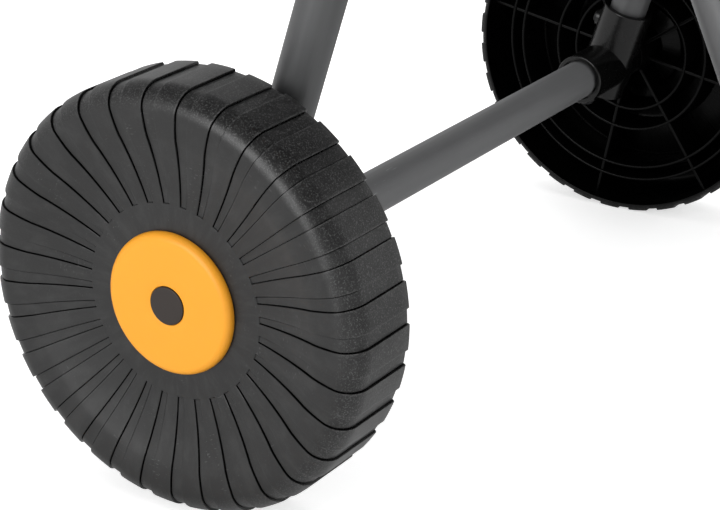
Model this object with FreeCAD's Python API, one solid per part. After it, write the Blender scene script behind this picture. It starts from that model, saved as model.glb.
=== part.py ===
import FreeCAD, Part
import math
import os

# Garden hose reel cart: a tube frame on two ribbed wheels and two front feet, with a hose reel
# turned by a crank and fed through a swivelling inlet elbow.
#
# Build frame, in millimetres: X runs along the wheel axle from the centre plane, +X is the crank
# side, Y is measured from the wheel axle, -Y is the front (the feet), Z is up from the floor.
# export() moves everything to the row frame, whose origin is on the floor under the middle of the
# whole cart's box.

Vec = FreeCAD.Vector
X_DIR = Vec(1, 0, 0)
Y_DIR = Vec(0, 1, 0)
Z_DIR = Vec(0, 0, 1)
FULL_TURN = 360.0
CUT_PAST = 1.0                 # how far a cutter runs past the face it opens

# ---- clearances -----------------------------------------------------------------------------
RUNNING = 0.05                 # radial, a shaft that turns in its hole
SLIP = 0.05                    # radial, a tube or a plug that is pushed into its socket
SCREW_SLIP = 0.1               # radial, a screw in its hole
END_PLAY = 0.3                 # axial, between pieces that turn past each other

# ---- frame tubes ----------------------------------------------------------------------------
TUBE_R = 11.0
TUBE_WALL = 1.2
FRAME_HALF = 190.15            # centre plane to the plane that holds the legs of one side
WHEEL_LEG_LEAN = 17.85         # degrees from vertical, leaning forward as it rises
FRONT_LEG_LEAN = 24.2          # degrees from vertical, leaning backward as it rises
REEL_RISE = 382.0              # reel axis above the wheel axle
HANDLE_REACH = 445.0           # reel axis to the handle's cross part, along the front leg's line
HANDLE_BEND_R = 60.0
GRIP_WALL = 4.5
GRIP_LENGTH = 210.0

# ---- wheels: radii, and places outboard of the leg plane --------------------------------------
AXLE_R = 5.0
WHEEL_R = 101.3
TREAD_EDGE = 22.2              # inner edge of the tread
TREAD_SHOULDER_R = WHEEL_R - 0.3
TREAD_SHOULDER = 52.7
SHOULDER_MID_R = WHEEL_R - 2.6
SHOULDER_MID = 60.8
SHOULDER_TOP_R = WHEEL_R - 7.1
SHOULDER_TOP = 64.3
CROWN_R = WHEEL_R - 13.0       # the face's outermost ring
CROWN = 65.5
DISH_RIM_R = WHEEL_R - 20.8
DISH_RIM = 64.2
DISH_MID = 60.1                # halfway along the dish
DISH_R = 46.1                  # the dished face's inner ring, where the grooves start
DISH = 57.0
FACE_WALL = 3.2
TREAD_WALL = 4.0
DISH_MID_R = (DISH_R + DISH_RIM_R) / 2
GROOVE_COUNT = 32
GROOVE_ANGLE = 4.2             # degrees that one groove covers
GROOVE_PHASE = 4.6             # degrees from the top, toward +Y, to a groove's edge
GROOVE_FACE_DEPTH = 0.6
GROOVE_CROWN_DEPTH = 1.0
GROOVE_TREAD_DEPTH = 1.3
RING_RIB_RADII = (37.0, 50.0, WHEEL_R - 26.3, WHEEL_R - 18.3)
SPOKE_RIB_COUNT = 8
SPOKE_RIB_PHASE = 11.0
WHEEL_RIB_WALL = 2.0
WHEEL_RIB_BACK = 30.0          # how far inboard the ribs reach
WHEEL_HUB_R = AXLE_R + 8.0
WHEEL_HUB_BACK = 20.0
WHEEL_HUB_FRONT = 52.0         # also the floor of the recess behind the cap
WHEEL_RECESS_R = 23.0

# ---- axle and what holds the wheels on it -----------------------------------------------------
WASHER_R = AXLE_R + 7.0
WASHER_THICKNESS = 1.5
PUSH_NUT_R = AXLE_R + 4.0
PUSH_NUT_THICKNESS = 3.0
AXLE_STUB = 0.7                # axle end past the push nut

# ---- hub caps ---------------------------------------------------------------------------------
CAP_R = 33.5
CAP_FRONT = 61.8
CAP_ROUND = 3.7
CAP_WALL = 2.2
CAP_SKIRT_WALL = 2.0
CAP_SKIRT_DEPTH = 3.6          # how far the skirt reaches into the wheel's recess
PLUG_R = 8.95
PLUG_PROUD = 0.5
PLUG_SEAT_DEPTH = 1.2
PLUG_STEM_R = 5.0
PLUG_STEM_PAST = 0.3

# ---- moulded tube fittings --------------------------------------------------------------------
SOCKET_R = TUBE_R + 4.0
CROSS_SOCKET_R = TUBE_R + 3.5  # the sockets of the two cross tubes
SOCKET_FLOOR = TUBE_R + 3.0    # fitting centre to the tube's end
MOUTH_GAP = 1.2                # radial gap round the tube at a socket's mouth
MOUTH_DEPTH = 4.0
TEE_UP = SOCKET_FLOOR + 24.0   # wheel bracket's centre to its upper mouth
TEE_IN = SOCKET_FLOOR + 27.0   # wheel bracket's centre to its inboard mouth
TEE_DOWN = SOCKET_R + 2.0
TEE_NECK_R = AXLE_R + 8.0
FOOT_HEIGHT = 25.0             # height of the front cross tube
FOOT_UP = SOCKET_FLOOR + 32.0
FOOT_IN = SOCKET_FLOOR + 30.0
FOOT_BACK = SOCKET_R + 1.5
FOOT_BASE_X = 2 * SOCKET_R + 2.0
FOOT_BASE_Y = 2 * SOCKET_R + 10.0
PAD_HEIGHT = 8.0
PAD_MARGIN = 3.0
PAD_ROUND = 4.0
PAD_STEM_R = 5.0
PAD_STEM_HEIGHT = 7.0

# ---- side brackets, which join the tubes round the reel's bearing -----------------------------
BRACKET_WEB = 6.0              # least wall between the two lower tubes
LEG_HALF_ANGLE = math.radians(WHEEL_LEG_LEAN + FRONT_LEG_LEAN) / 2
BRACKET_TUBE_START = (TUBE_R + BRACKET_WEB / 2) / math.sin(LEG_HALF_ANGLE)   # reel axis to tube ends
BRACKET_R = BRACKET_TUBE_START - 2.0
BRACKET_HALF_WIDTH = SOCKET_R + 2.0
BRACKET_SOCKET_END = BRACKET_TUBE_START + 41.0
GUSSET_HALF_WIDTH = 4.0
GUSSET_REACH = BRACKET_TUBE_START + 27.0
SHAFT_R = 12.0
BUSH_R = SHAFT_R + 2.5
BUSH_FLANGE_R = SHAFT_R + 9.0
BUSH_FLANGE = 3.0
THRUST_WASHER_R = SHAFT_R + 7.0
THRUST_WASHER = 3.4

# ---- screws -----------------------------------------------------------------------------------
SCREW_R = 2.0
SCREW_HEAD_R = 4.0
SCREW_HEAD_HEIGHT = 2.4
SCREW_LENGTH = 9.0
SCREW_BOSS_R = 5.6
SCREW_BOSS_PROUD = 0.8
SCREW_FROM_MOUTH = 13.0        # socket mouth to the screw

# ---- reel -------------------------------------------------------------------------------------
FLANGE_R = 190.0
FLANGE_PLATE = 3.5
FLANGE_LIP = 11.0              # width of the outer lip along the axle
FLANGE_LIP_WALL = 4.0
FLANGE_RIB = 8.0               # height of the ribs, from the hose side
FLANGE_RIB_WALL = 3.0
FLANGE_RIB_COUNT = 12
FLANGE_HUB_R = SHAFT_R + 10.0
FLANGE_HUB_END = 16.0          # the hub's outer end, from the hose side
WINDOW_ANGLE = 18.0
WINDOW_ROUND = 6.0
DRUM_R = 62.0
WINDOW_INNER_R = DRUM_R + 24.0
WINDOW_OUTER_R = FLANGE_R - 18.0
FLANGE_RING_RIBS = (DRUM_R + 10.0, (WINDOW_INNER_R + WINDOW_OUTER_R) / 2)
DRUM_WALL = 3.0
DRUM_SEAT_WALL = 2.6
DRUM_SEAT_HEIGHT = 8.0
DRUM_RIB_COUNT = 8
DRUM_RIB_HEIGHT = 2.0
DRUM_RIB_WIDTH = 4.0
TIE_COUNT = 4
TIE_CIRCLE_R = DRUM_R - 15.0
TIE_PHASE = 30.0               # between two ribs of the flange
TIE_R = 3.0
TIE_HEAD_R = 5.5
TIE_HEAD_HEIGHT = 4.0
TIE_PAST_NUT = 2.0
STUB_FLANGE_R = SHAFT_R + 20.0  # disc of the two shaft stubs, inside the drum
STUB_FLANGE = 6.0
STUB_SCREW_COUNT = 3
STUB_SCREW_CIRCLE_R = SHAFT_R + 15.0

# ---- crank ------------------------------------------------------------------------------------
CRANK_GAP = 4.5                # side bracket to the crank arm
CRANK_THICKNESS = 10.0
CRANK_THROW = 110.0
CRANK_ANGLE = 0.0              # degrees from straight down, toward the front: it hangs at rest
CRANK_HUB_R = SHAFT_R + 8.0
CRANK_END_R = 14.0
CRANK_SQUARE = SHAFT_R * 4 / 3  # side of the shaft's square end, whose corners stay in the shaft
CRANK_SQUARE_SLIP = 0.1
CRANK_SCREW_R = 3.0
CRANK_SCREW_DEPTH = 20.0
CRANK_SCREW_HEAD_R = 8.0
CRANK_SCREW_HEAD_HEIGHT = 4.0
CRANK_RECESS_DEPTH = 3.0
PIN_R = 5.0
PIN_HEAD_R = PIN_R + 4.0
PIN_HEAD = 3.0
KNOB_LENGTH = 76.0
KNOB_R = 15.0
KNOB_NECK_R = 12.5
KNOB_BULGE_R = 16.5
KNOB_RECESS_R = PIN_HEAD_R + 2.0
KNOB_CAP_PLUG = 3.0
KNOB_CAP_R = 13.0
KNOB_CAP_DOME = 2.0

# ---- water path -------------------------------------------------------------------------------
WATER_R = 5.0
BRANCH_WATER_R = 5.5           # the bores that leave the water path at a right angle
NOSE_R = SHAFT_R - 3.0         # inlet pipe's nose, in the swivel elbow
NOSE_START_GAP = 3.0           # side bracket to the nose's shoulder
NOSE_LENGTH = 20.0
SEAL_R = 1.0
SEAL_GAP = 0.1                 # radial, seal to the elbow's bore
SEAL_FROM_END = 5.0
CLIP_R = 1.0
CLIP_GROOVE_DEPTH = 1.6
CLIP_FROM_END = 13.0
CLIP_ARM_PAST = 3.0
SWIVEL_R = NOSE_R + 8.0
SWIVEL_CHAMBER = 14.0
SWIVEL_END_WALL = 4.0
SWIVEL_BRANCH_R = 12.5
SWIVEL_BRANCH_REACH = 34.0
SPIGOT_THREAD_R = 9.5          # quick-connect spigots, the same on the inlet and the outlet
SPIGOT_THREAD = 12.0
SPIGOT_COLLAR_R = 13.0
SPIGOT_COLLAR = 7.0
SPIGOT_NECK_R = 6.8            # the groove that a coupler latches into
SPIGOT_NECK = 5.0
SPIGOT_R = 8.0
SPIGOT_LAND = 12.0             # the plain length between the neck and the seal
SPIGOT_TIP = 4.0
SPIGOT_SEAL_R = 1.2
SPIGOT_SEAL_SUNK = 0.05
OUTLET_R = 13.5
OUTLET_SOCKET_R = NOSE_R + 3.5
OUTLET_SOCKET = 12.0
OUTLET_FROM_FLANGE = 44.0      # flange's hose side to the outlet's line
OUTLET_REACH = DRUM_R - 6.0
DRUM_HOLE_GAP = 1.5

# ---- places worked out from the above ---------------------------------------------------------
TUBE_SOCKET_R = TUBE_R + SLIP
WHEEL_LEG_DIR = Vec(0, -math.sin(math.radians(WHEEL_LEG_LEAN)), math.cos(math.radians(WHEEL_LEG_LEAN)))
FRONT_LEG_DIR = Vec(0, math.sin(math.radians(FRONT_LEG_LEAN)), math.cos(math.radians(FRONT_LEG_LEAN)))
LEG_LENGTH = REEL_RISE / WHEEL_LEG_DIR.z          # wheel axle to reel axis along the wheel leg
AXLE_AT = Vec(FRAME_HALF, 0, WHEEL_R)
REEL_AT = AXLE_AT + WHEEL_LEG_DIR * LEG_LENGTH
FRONT_LEG_LENGTH = (REEL_AT.z - FOOT_HEIGHT) / FRONT_LEG_DIR.z
FOOT_AT = REEL_AT - FRONT_LEG_DIR * FRONT_LEG_LENGTH
REEL_CENTRE = Vec(0, REEL_AT.y, REEL_AT.z)
AXLE_CENTRE = Vec(0, 0, WHEEL_R)
BRACKET_OUT = FRAME_HALF + BRACKET_HALF_WIDTH
BRACKET_IN = FRAME_HALF - BRACKET_HALF_WIDTH
BUSH_IN = BRACKET_IN - BUSH_FLANGE
FLANGE_HUB_FACE = BUSH_IN - THRUST_WASHER - 2 * END_PLAY
FLANGE_FACE = FLANGE_HUB_FACE - FLANGE_HUB_END       # centre plane to the flange's hose side
OUTLET_LINE = FLANGE_FACE - OUTLET_FROM_FLANGE        # centre plane to the outlet's line
PIPE_INNER_END = OUTLET_LINE + OUTLET_SOCKET / 2
CRANK_IN = BRACKET_OUT + CRANK_GAP
CRANK_OUT = CRANK_IN + CRANK_THICKNESS
CRANK_DIR = Vec(0, -math.sin(math.radians(CRANK_ANGLE)), -math.cos(math.radians(CRANK_ANGLE)))
CRANK_PIN_AT = REEL_CENTRE + CRANK_DIR * CRANK_THROW
KNOB_IN = CRANK_OUT + END_PLAY
KNOB_OUT = KNOB_IN + KNOB_LENGTH
KNOB_END = KNOB_OUT + KNOB_CAP_DOME
NOSE_START = BRACKET_OUT + NOSE_START_GAP
NOSE_END = NOSE_START + NOSE_LENGTH
SWIVEL_IN = NOSE_START + END_PLAY
CHAMBER_END = NOSE_END + SWIVEL_CHAMBER
SWIVEL_OUT = CHAMBER_END + SWIVEL_END_WALL
BRANCH_AT = (NOSE_END + CHAMBER_END) / 2
WHEEL_OUT = FRAME_HALF + CROWN
FRONT_EDGE = FOOT_AT.y - FOOT_BASE_Y / 2 - PAD_MARGIN
OUTLET_DIR = Z_DIR
DOWN = Z_DIR * -1
INWARD = X_DIR * -1
ROW_ORIGIN = Vec((KNOB_END - WHEEL_OUT) / 2, (FRONT_EDGE + WHEEL_R) / 2, 0)


# ---- shape helpers ----------------------------------------------------------------------------
def rod(start, direction, radius, length):
    """Solid cylinder from a start point along a direction."""
    return Part.makeCylinder(radius, length, start, direction)


def x_rod(centre, x_from, x_to, radius):
    """Solid cylinder along X through a centre, between two X places."""
    return rod(Vec(x_from, centre.y, centre.z), X_DIR, radius, x_to - x_from)


def x_ring(centre, x_from, x_to, outer_r, inner_r):
    """Ring along X: a cylinder with a concentric hole."""
    hole = x_rod(centre, x_from - CUT_PAST, x_to + CUT_PAST, inner_r)
    return x_rod(centre, x_from, x_to, outer_r).cut(hole)


def tube(start, direction, length):
    """One length of the frame's steel tube."""
    outside = rod(start, direction, TUBE_R, length)
    inside = rod(start - direction * CUT_PAST, direction, TUBE_R - TUBE_WALL, length + 2 * CUT_PAST)
    return outside.cut(inside)


def turned(centre, edges, angle=FULL_TURN):
    """Solid of revolution about X through a centre. edges run in the plane x = place, z = radius."""
    face = Part.Face(Part.Wire(edges))
    solid = face.revolve(Vec(0, 0, 0), X_DIR, angle)
    solid.translate(Vec(0, centre.y, centre.z))
    return solid


def line(a, b):
    """Profile line between two (place, radius) points."""
    return Part.LineSegment(Vec(a[0], 0, a[1]), Vec(b[0], 0, b[1])).toShape()


def arc(a, b, c):
    """Profile arc through three (place, radius) points."""
    return Part.Arc(Vec(a[0], 0, a[1]), Vec(b[0], 0, b[1]), Vec(c[0], 0, c[1])).toShape()


def about_x(shape, centre, degrees):
    """Copy of a shape turned about X through a centre. Positive runs from +Y toward +Z."""
    copy = shape.copy()
    copy.rotate(centre, X_DIR, degrees)
    return copy


def round_about_x(shape, centre, count, phase=0.0):
    """Copies of a shape, evenly spaced round X through a centre."""
    return [about_x(shape, centre, phase + FULL_TURN * i / count) for i in range(count)]


def mirrored(shape):
    """The same piece on the other side of the centre plane."""
    return shape.mirror(Vec(0, 0, 0), X_DIR)


def group(shapes):
    """Several separate solids as one node."""
    return Part.makeCompound(shapes)


# ---- screws -----------------------------------------------------------------------------------
def screw(seat, outward, radius=SCREW_R, head_r=SCREW_HEAD_R, head=SCREW_HEAD_HEIGHT, length=SCREW_LENGTH):
    """Pan-head screw. seat is the middle of the face under its head, outward points to the head."""
    shank = rod(seat - outward * length, outward, radius, length)
    cap = rod(seat, outward, head_r, head)
    rim = max(cap.Edges, key=lambda e: (e.CenterOfMass - seat).dot(outward))
    return cap.makeFillet(head * 0.45, [rim]).fuse(shank)


def screw_hole(seat, outward, radius=SCREW_R, length=SCREW_LENGTH):
    """What is cut away for a screw's shank."""
    start = seat - outward * (length + SCREW_SLIP)
    return rod(start, outward, radius + SCREW_SLIP, length + CUT_PAST)


def socket_screw_seat(centre, direction, reach, outward, radius=SOCKET_R):
    """Seat of the screw that pins a tube in a socket of that reach."""
    return centre + direction * (reach - SCREW_FROM_MOUTH) + outward * (radius + SCREW_BOSS_PROUD)


def screw_boss(seat, outward):
    """Flat pad that a socket carries under a screw's head."""
    return rod(seat - outward * (SOCKET_R / 2), outward, SCREW_BOSS_R, SOCKET_R / 2)


# ---- sockets ----------------------------------------------------------------------------------
def socket_outside(centre, direction, reach, back=0.0, radius=SOCKET_R):
    """Outer shape of a tube socket, with a softened mouth."""
    body = rod(centre - direction * back, direction, radius, reach + back)
    rim = max(body.Edges, key=lambda e: (e.CenterOfMass - centre).dot(direction))
    return body.makeFillet(CUT_PAST, [rim])


def socket_inside(centre, direction, start, reach):
    """What is cut away for the tube and for the wider mouth round it."""
    bore = rod(centre + direction * start, direction, TUBE_SOCKET_R, reach - start + CUT_PAST)
    mouth_at = centre + direction * (reach - MOUTH_DEPTH)
    mouth = rod(mouth_at, direction, TUBE_R + MOUTH_GAP, MOUTH_DEPTH + CUT_PAST)
    return bore.fuse(mouth)


# ---- wheels (built on the +X side) --------------------------------------------------------------
def wheel_place(distance):
    """X place of something that far outboard of the leg plane."""
    return FRAME_HALF + distance


def face_curve(depth_face=0.0, depth_crown=0.0, depth_tread=0.0):
    """The wheel's outer line from the dish's inner ring to the tread's inner edge, sunk by depths."""
    dish = (wheel_place(DISH - depth_face), DISH_R)
    mid = (wheel_place(DISH_MID - depth_face), DISH_MID_R)
    rim = (wheel_place(DISH_RIM - depth_crown), DISH_RIM_R)
    crown = (wheel_place(CROWN - depth_crown), CROWN_R)
    top = (wheel_place(SHOULDER_TOP - depth_crown), SHOULDER_TOP_R - depth_crown / 2)
    middle = (wheel_place(SHOULDER_MID - depth_tread / 3), SHOULDER_MID_R - depth_tread * 0.8)
    shoulder = (wheel_place(TREAD_SHOULDER), TREAD_SHOULDER_R - depth_tread)
    edge = (wheel_place(TREAD_EDGE), WHEEL_R - depth_tread)
    edges = [arc(dish, mid, rim), arc(rim, crown, top), arc(top, middle, shoulder), line(shoulder, edge)]
    return edges, dish, edge


def wheel_shell():
    """Dished face, tread and hub sleeve as one turned shell, open at the back."""
    outer, dish, edge = face_curve()
    inner, inner_dish, inner_edge = face_curve(FACE_WALL, FACE_WALL, TREAD_WALL)
    floor_back = wheel_place(WHEEL_HUB_FRONT - FACE_WALL)
    wall_r = WHEEL_RECESS_R + FACE_WALL
    bore_r = AXLE_R + RUNNING
    inside = [
        inner_dish,
        (inner_dish[0], wall_r),
        (floor_back, wall_r),
        (floor_back, WHEEL_HUB_R),
        (wheel_place(WHEEL_HUB_BACK), WHEEL_HUB_R),
        (wheel_place(WHEEL_HUB_BACK), bore_r),
        (wheel_place(WHEEL_HUB_FRONT), bore_r),
        (wheel_place(WHEEL_HUB_FRONT), WHEEL_RECESS_R),
        (dish[0], WHEEL_RECESS_R),
        dish,
    ]
    hub = [line(a, b) for a, b in zip(inside, inside[1:])]
    return turned(AXLE_CENTRE, Part.__sortEdges__(outer + [line(edge, inner_edge)] + inner + hub))


def wheel_ribs():
    """Ring ribs and spoke ribs at the back of the wheel, trimmed to end inside its walls."""
    back = wheel_place(WHEEL_RIB_BACK)
    front = wheel_place(CROWN)
    sink = FACE_WALL / 3
    skin, dish, _ = face_curve(FACE_WALL - sink, FACE_WALL - sink, TREAD_WALL - sink)
    edge_r = TREAD_SHOULDER_R - TREAD_WALL + sink
    shoulder = (wheel_place(TREAD_SHOULDER), edge_r)
    hub_front = wheel_place(WHEEL_HUB_FRONT - sink)
    room = skin[:3] + [
        line(shoulder, (back, edge_r)),
        line((back, edge_r), (back, WHEEL_HUB_R - sink)),
        line((back, WHEEL_HUB_R - sink), (hub_front, WHEEL_HUB_R - sink)),
        line((hub_front, WHEEL_HUB_R - sink), (hub_front, DISH_R - FACE_WALL)),
        line((hub_front, DISH_R - FACE_WALL), dish),
    ]
    envelope = turned(AXLE_CENTRE, Part.__sortEdges__(room))
    half = WHEEL_RIB_WALL / 2
    ribs = [x_ring(AXLE_CENTRE, back, front, r + half, r - half) for r in RING_RIB_RADII]
    spoke = Part.makeBox(front - back, WHEEL_RIB_WALL, WHEEL_R, Vec(back, -half, WHEEL_R))
    ribs += round_about_x(spoke, AXLE_CENTRE, SPOKE_RIB_COUNT, SPOKE_RIB_PHASE)
    return envelope.common(ribs[0].multiFuse(ribs[1:]))


def groove_cutter():
    """What one groove takes from the wheel: a band of even angle along the face and the tread."""
    floor, floor_start, floor_end = face_curve(GROOVE_FACE_DEPTH, GROOVE_CROWN_DEPTH, GROOVE_TREAD_DEPTH)
    past_edge = wheel_place(TREAD_EDGE - CUT_PAST)
    past_front = wheel_place(CROWN + CUT_PAST)
    past_r = WHEEL_R + CUT_PAST
    around = [
        floor_end,
        (past_edge, floor_end[1]),
        (past_edge, past_r),
        (past_front, past_r),
        (past_front, DISH_R),
        floor_start,
    ]
    edges = floor + [line(a, b) for a, b in zip(around, around[1:])]
    return turned(AXLE_CENTRE, Part.__sortEdges__(edges), GROOVE_ANGLE)


def wheel():
    """Ribbed hollow wheel with radial grooves that run over its shoulder and across the tread."""
    cutters = round_about_x(groove_cutter(), AXLE_CENTRE, GROOVE_COUNT, -GROOVE_PHASE)
    hub_bore = x_rod(AXLE_CENTRE, wheel_place(WHEEL_HUB_BACK), wheel_place(WHEEL_HUB_FRONT), AXLE_R + RUNNING)
    return wheel_shell().fuse(wheel_ribs()).cut(group(cutters)).cut(hub_bore)


def hub_cap():
    """Round cap over the wheel's recess: a shallow tray with a skirt and a seat for its plug."""
    front = wheel_place(CAP_FRONT)
    back = wheel_place(DISH)
    body = x_rod(AXLE_CENTRE, back, front, CAP_R)
    rim = [e for e in body.Edges if abs(e.CenterOfMass.x - front) < SLIP]
    body = body.makeFillet(CAP_ROUND, rim)
    skirt_r = WHEEL_RECESS_R - SLIP
    skirt = x_rod(AXLE_CENTRE, back - CAP_SKIRT_DEPTH, back, skirt_r)
    inner_r = skirt_r - CAP_SKIRT_WALL
    room = x_rod(AXLE_CENTRE, back - CAP_SKIRT_DEPTH - CUT_PAST, front - CAP_WALL, inner_r)
    seat = x_rod(AXLE_CENTRE, front - PLUG_SEAT_DEPTH, front + CUT_PAST, PLUG_R + SLIP)
    hole = x_rod(AXLE_CENTRE, back, front + CUT_PAST, PLUG_STEM_R + SLIP)
    return body.fuse(skirt).cut(room).cut(seat).cut(hole)


def cap_plug():
    """Small disc in the middle of the hub cap, with a stem through it."""
    front = wheel_place(CAP_FRONT)
    head = x_rod(AXLE_CENTRE, front - PLUG_SEAT_DEPTH, front + PLUG_PROUD, PLUG_R)
    stem = x_rod(AXLE_CENTRE, front - CAP_WALL - PLUG_STEM_PAST, front, PLUG_STEM_R)
    return head.fuse(stem)


# ---- axle ---------------------------------------------------------------------------------------
def axle_stack():
    """X places of the washer and the push nut outside the wheel's hub."""
    washer = wheel_place(WHEEL_HUB_FRONT) + END_PLAY
    nut = washer + WASHER_THICKNESS
    return washer, nut, nut + PUSH_NUT_THICKNESS


def axle_rod():
    """Steel rod through both wheels, both wheel brackets and the axle tube."""
    end = axle_stack()[2] + AXLE_STUB
    rod_shape = x_rod(AXLE_CENTRE, -end, end, AXLE_R)
    rims = [e for e in rod_shape.Edges if abs(abs(e.CenterOfMass.x) - end) < SLIP]
    return rod_shape.makeChamfer(AXLE_STUB / 2, rims)


def axle_washer():
    """Flat washer between a wheel's hub and its push nut."""
    washer, nut, _ = axle_stack()
    return x_ring(AXLE_CENTRE, washer, nut, WASHER_R, AXLE_R + SLIP)


def push_nut():
    """Pressed nut that keeps the wheel on the axle."""
    _, nut, end = axle_stack()
    body = x_ring(AXLE_CENTRE, nut, end, PUSH_NUT_R, AXLE_R + SLIP)
    rim = [e for e in body.Edges if abs(e.CenterOfMass.x - end) < SLIP and e.Length > math.tau * AXLE_R * 1.2]
    return body.makeFillet(PUSH_NUT_THICKNESS / 2, rim)


# ---- frame fittings (built on the +X side) ------------------------------------------------------
def wheel_bracket_screws():
    """Seats and directions of the screws that pin the two tubes in the wheel bracket."""
    rear = WHEEL_LEG_DIR.cross(X_DIR) * -1
    if rear.y < 0:
        rear = rear * -1
    return [
        (socket_screw_seat(AXLE_AT, WHEEL_LEG_DIR, TEE_UP, rear), rear),
        (socket_screw_seat(AXLE_AT, INWARD, TEE_IN, DOWN, CROSS_SOCKET_R), DOWN),
    ]


def wheel_bracket():
    """Moulded tee that holds the wheel leg, the axle tube and the axle."""
    up = socket_outside(AXLE_AT, WHEEL_LEG_DIR, TEE_UP, TEE_DOWN)
    across = socket_outside(AXLE_AT, INWARD, TEE_IN, radius=CROSS_SOCKET_R)
    neck = x_rod(AXLE_AT, FRAME_HALF, wheel_place(WHEEL_HUB_BACK) - END_PLAY, TEE_NECK_R)
    body = up.fuse(across).fuse(neck)
    for seat, outward in wheel_bracket_screws():
        body = body.fuse(screw_boss(seat, outward))
    body = body.cut(socket_inside(AXLE_AT, WHEEL_LEG_DIR, SOCKET_FLOOR, TEE_UP))
    body = body.cut(socket_inside(AXLE_AT, INWARD, SOCKET_FLOOR, TEE_IN))
    body = body.cut(x_rod(AXLE_AT, 0, wheel_place(WHEEL_HUB_BACK), AXLE_R + SLIP))
    for seat, outward in wheel_bracket_screws():
        body = body.cut(screw_hole(seat, outward))
    return body


def foot_screws():
    """Seats and directions of the screws that pin the two tubes in the foot fitting."""
    front = FRONT_LEG_DIR.cross(X_DIR)
    if front.y < 0:
        front = front * -1
    return [
        (socket_screw_seat(FOOT_AT, FRONT_LEG_DIR, FOOT_UP, front), front),
        (socket_screw_seat(FOOT_AT, INWARD, FOOT_IN, Y_DIR, CROSS_SOCKET_R), Y_DIR),
    ]


def foot_fitting():
    """Moulded corner at the bottom of a front leg, with a flat base for its rubber pad."""
    up = socket_outside(FOOT_AT, FRONT_LEG_DIR, FOOT_UP)
    across = socket_outside(FOOT_AT, INWARD, FOOT_IN, FOOT_BACK, CROSS_SOCKET_R)
    base_at = Vec(FOOT_AT.x - FOOT_BASE_X / 2, FOOT_AT.y - FOOT_BASE_Y / 2, PAD_HEIGHT)
    base = Part.makeBox(FOOT_BASE_X, FOOT_BASE_Y, FOOT_HEIGHT - PAD_HEIGHT, base_at)
    upright = [e for e in base.Edges if abs(e.tangentAt(e.FirstParameter).z) > 0.5]
    base = base.makeFillet(PAD_ROUND, upright)
    body = up.fuse(across).fuse(base)
    for seat, outward in foot_screws():
        body = body.fuse(screw_boss(seat, outward))
    body = body.cut(socket_inside(FOOT_AT, FRONT_LEG_DIR, SOCKET_FLOOR + TUBE_WALL, FOOT_UP))
    body = body.cut(socket_inside(FOOT_AT, INWARD, SOCKET_FLOOR, FOOT_IN))
    stem_at = Vec(FOOT_AT.x, FOOT_AT.y, 0)
    body = body.cut(rod(stem_at, Z_DIR, PAD_STEM_R + SLIP, PAD_HEIGHT + PAD_STEM_HEIGHT + SLIP))
    for seat, outward in foot_screws():
        body = body.cut(screw_hole(seat, outward))
    return body


def foot_pad():
    """Rubber pad with a stem pressed into the foot fitting."""
    size_x = FOOT_BASE_X + 2 * PAD_MARGIN
    size_y = FOOT_BASE_Y + 2 * PAD_MARGIN
    pad = Part.makeBox(size_x, size_y, PAD_HEIGHT, Vec(FOOT_AT.x - size_x / 2, FOOT_AT.y - size_y / 2, 0))
    upright = [e for e in pad.Edges if abs(e.tangentAt(e.FirstParameter).z) > 0.5]
    pad = pad.makeFillet(PAD_ROUND + PAD_MARGIN, upright)
    top = [e for e in pad.Edges if abs(e.CenterOfMass.z - PAD_HEIGHT) < SLIP]
    pad = pad.makeFillet(PAD_MARGIN / 2, top)
    stem = rod(Vec(FOOT_AT.x, FOOT_AT.y, PAD_HEIGHT / 2), Z_DIR, PAD_STEM_R, PAD_HEIGHT / 2 + PAD_STEM_HEIGHT)
    return pad.fuse(stem)


def bracket_arms():
    """Directions of the side bracket's three sockets: wheel leg, front leg and handle."""
    return [WHEEL_LEG_DIR * -1, FRONT_LEG_DIR * -1, FRONT_LEG_DIR]


def bracket_screws():
    """Seats and directions of the side bracket's screws, whose heads face outboard."""
    return [(socket_screw_seat(REEL_AT, arm, BRACKET_SOCKET_END, X_DIR), X_DIR) for arm in bracket_arms()]


def side_bracket():
    """Moulded joint of three tubes round the reel's bearing."""
    body = x_rod(REEL_AT, BRACKET_IN, BRACKET_OUT, BRACKET_R)
    rims = [e for e in body.Edges if e.Length > math.tau * BRACKET_R * 0.9]
    body = body.makeFillet(BUSH_FLANGE, rims)
    for arm in bracket_arms():
        body = body.fuse(socket_outside(REEL_AT, arm, BRACKET_SOCKET_END))
    corners = [REEL_AT + arm * GUSSET_REACH for arm in bracket_arms()[:2]]
    corners = [REEL_AT] + corners + [REEL_AT]
    gusset = Part.Face(Part.makePolygon(corners)).extrude(X_DIR * (2 * GUSSET_HALF_WIDTH))
    gusset.translate(X_DIR * -GUSSET_HALF_WIDTH)
    body = body.fuse(gusset)
    for seat, outward in bracket_screws():
        body = body.fuse(screw_boss(seat, outward))
    for arm in bracket_arms():
        body = body.cut(socket_inside(REEL_AT, arm, BRACKET_TUBE_START, BRACKET_SOCKET_END))
    body = body.cut(x_rod(REEL_AT, BRACKET_IN - CUT_PAST, BRACKET_OUT + CUT_PAST, BUSH_R + SLIP))
    for seat, outward in bracket_screws():
        body = body.cut(screw_hole(seat, outward))
    return body


def bearing_bush():
    """Flanged plain bearing that the reel's shaft turns in."""
    sleeve = x_rod(REEL_CENTRE, BRACKET_IN, BRACKET_OUT, BUSH_R)
    flange = x_rod(REEL_CENTRE, BUSH_IN, BRACKET_IN, BUSH_FLANGE_R)
    bore = x_rod(REEL_CENTRE, BUSH_IN - CUT_PAST, BRACKET_OUT + CUT_PAST, SHAFT_R + RUNNING)
    return sleeve.fuse(flange).cut(bore)


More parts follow.
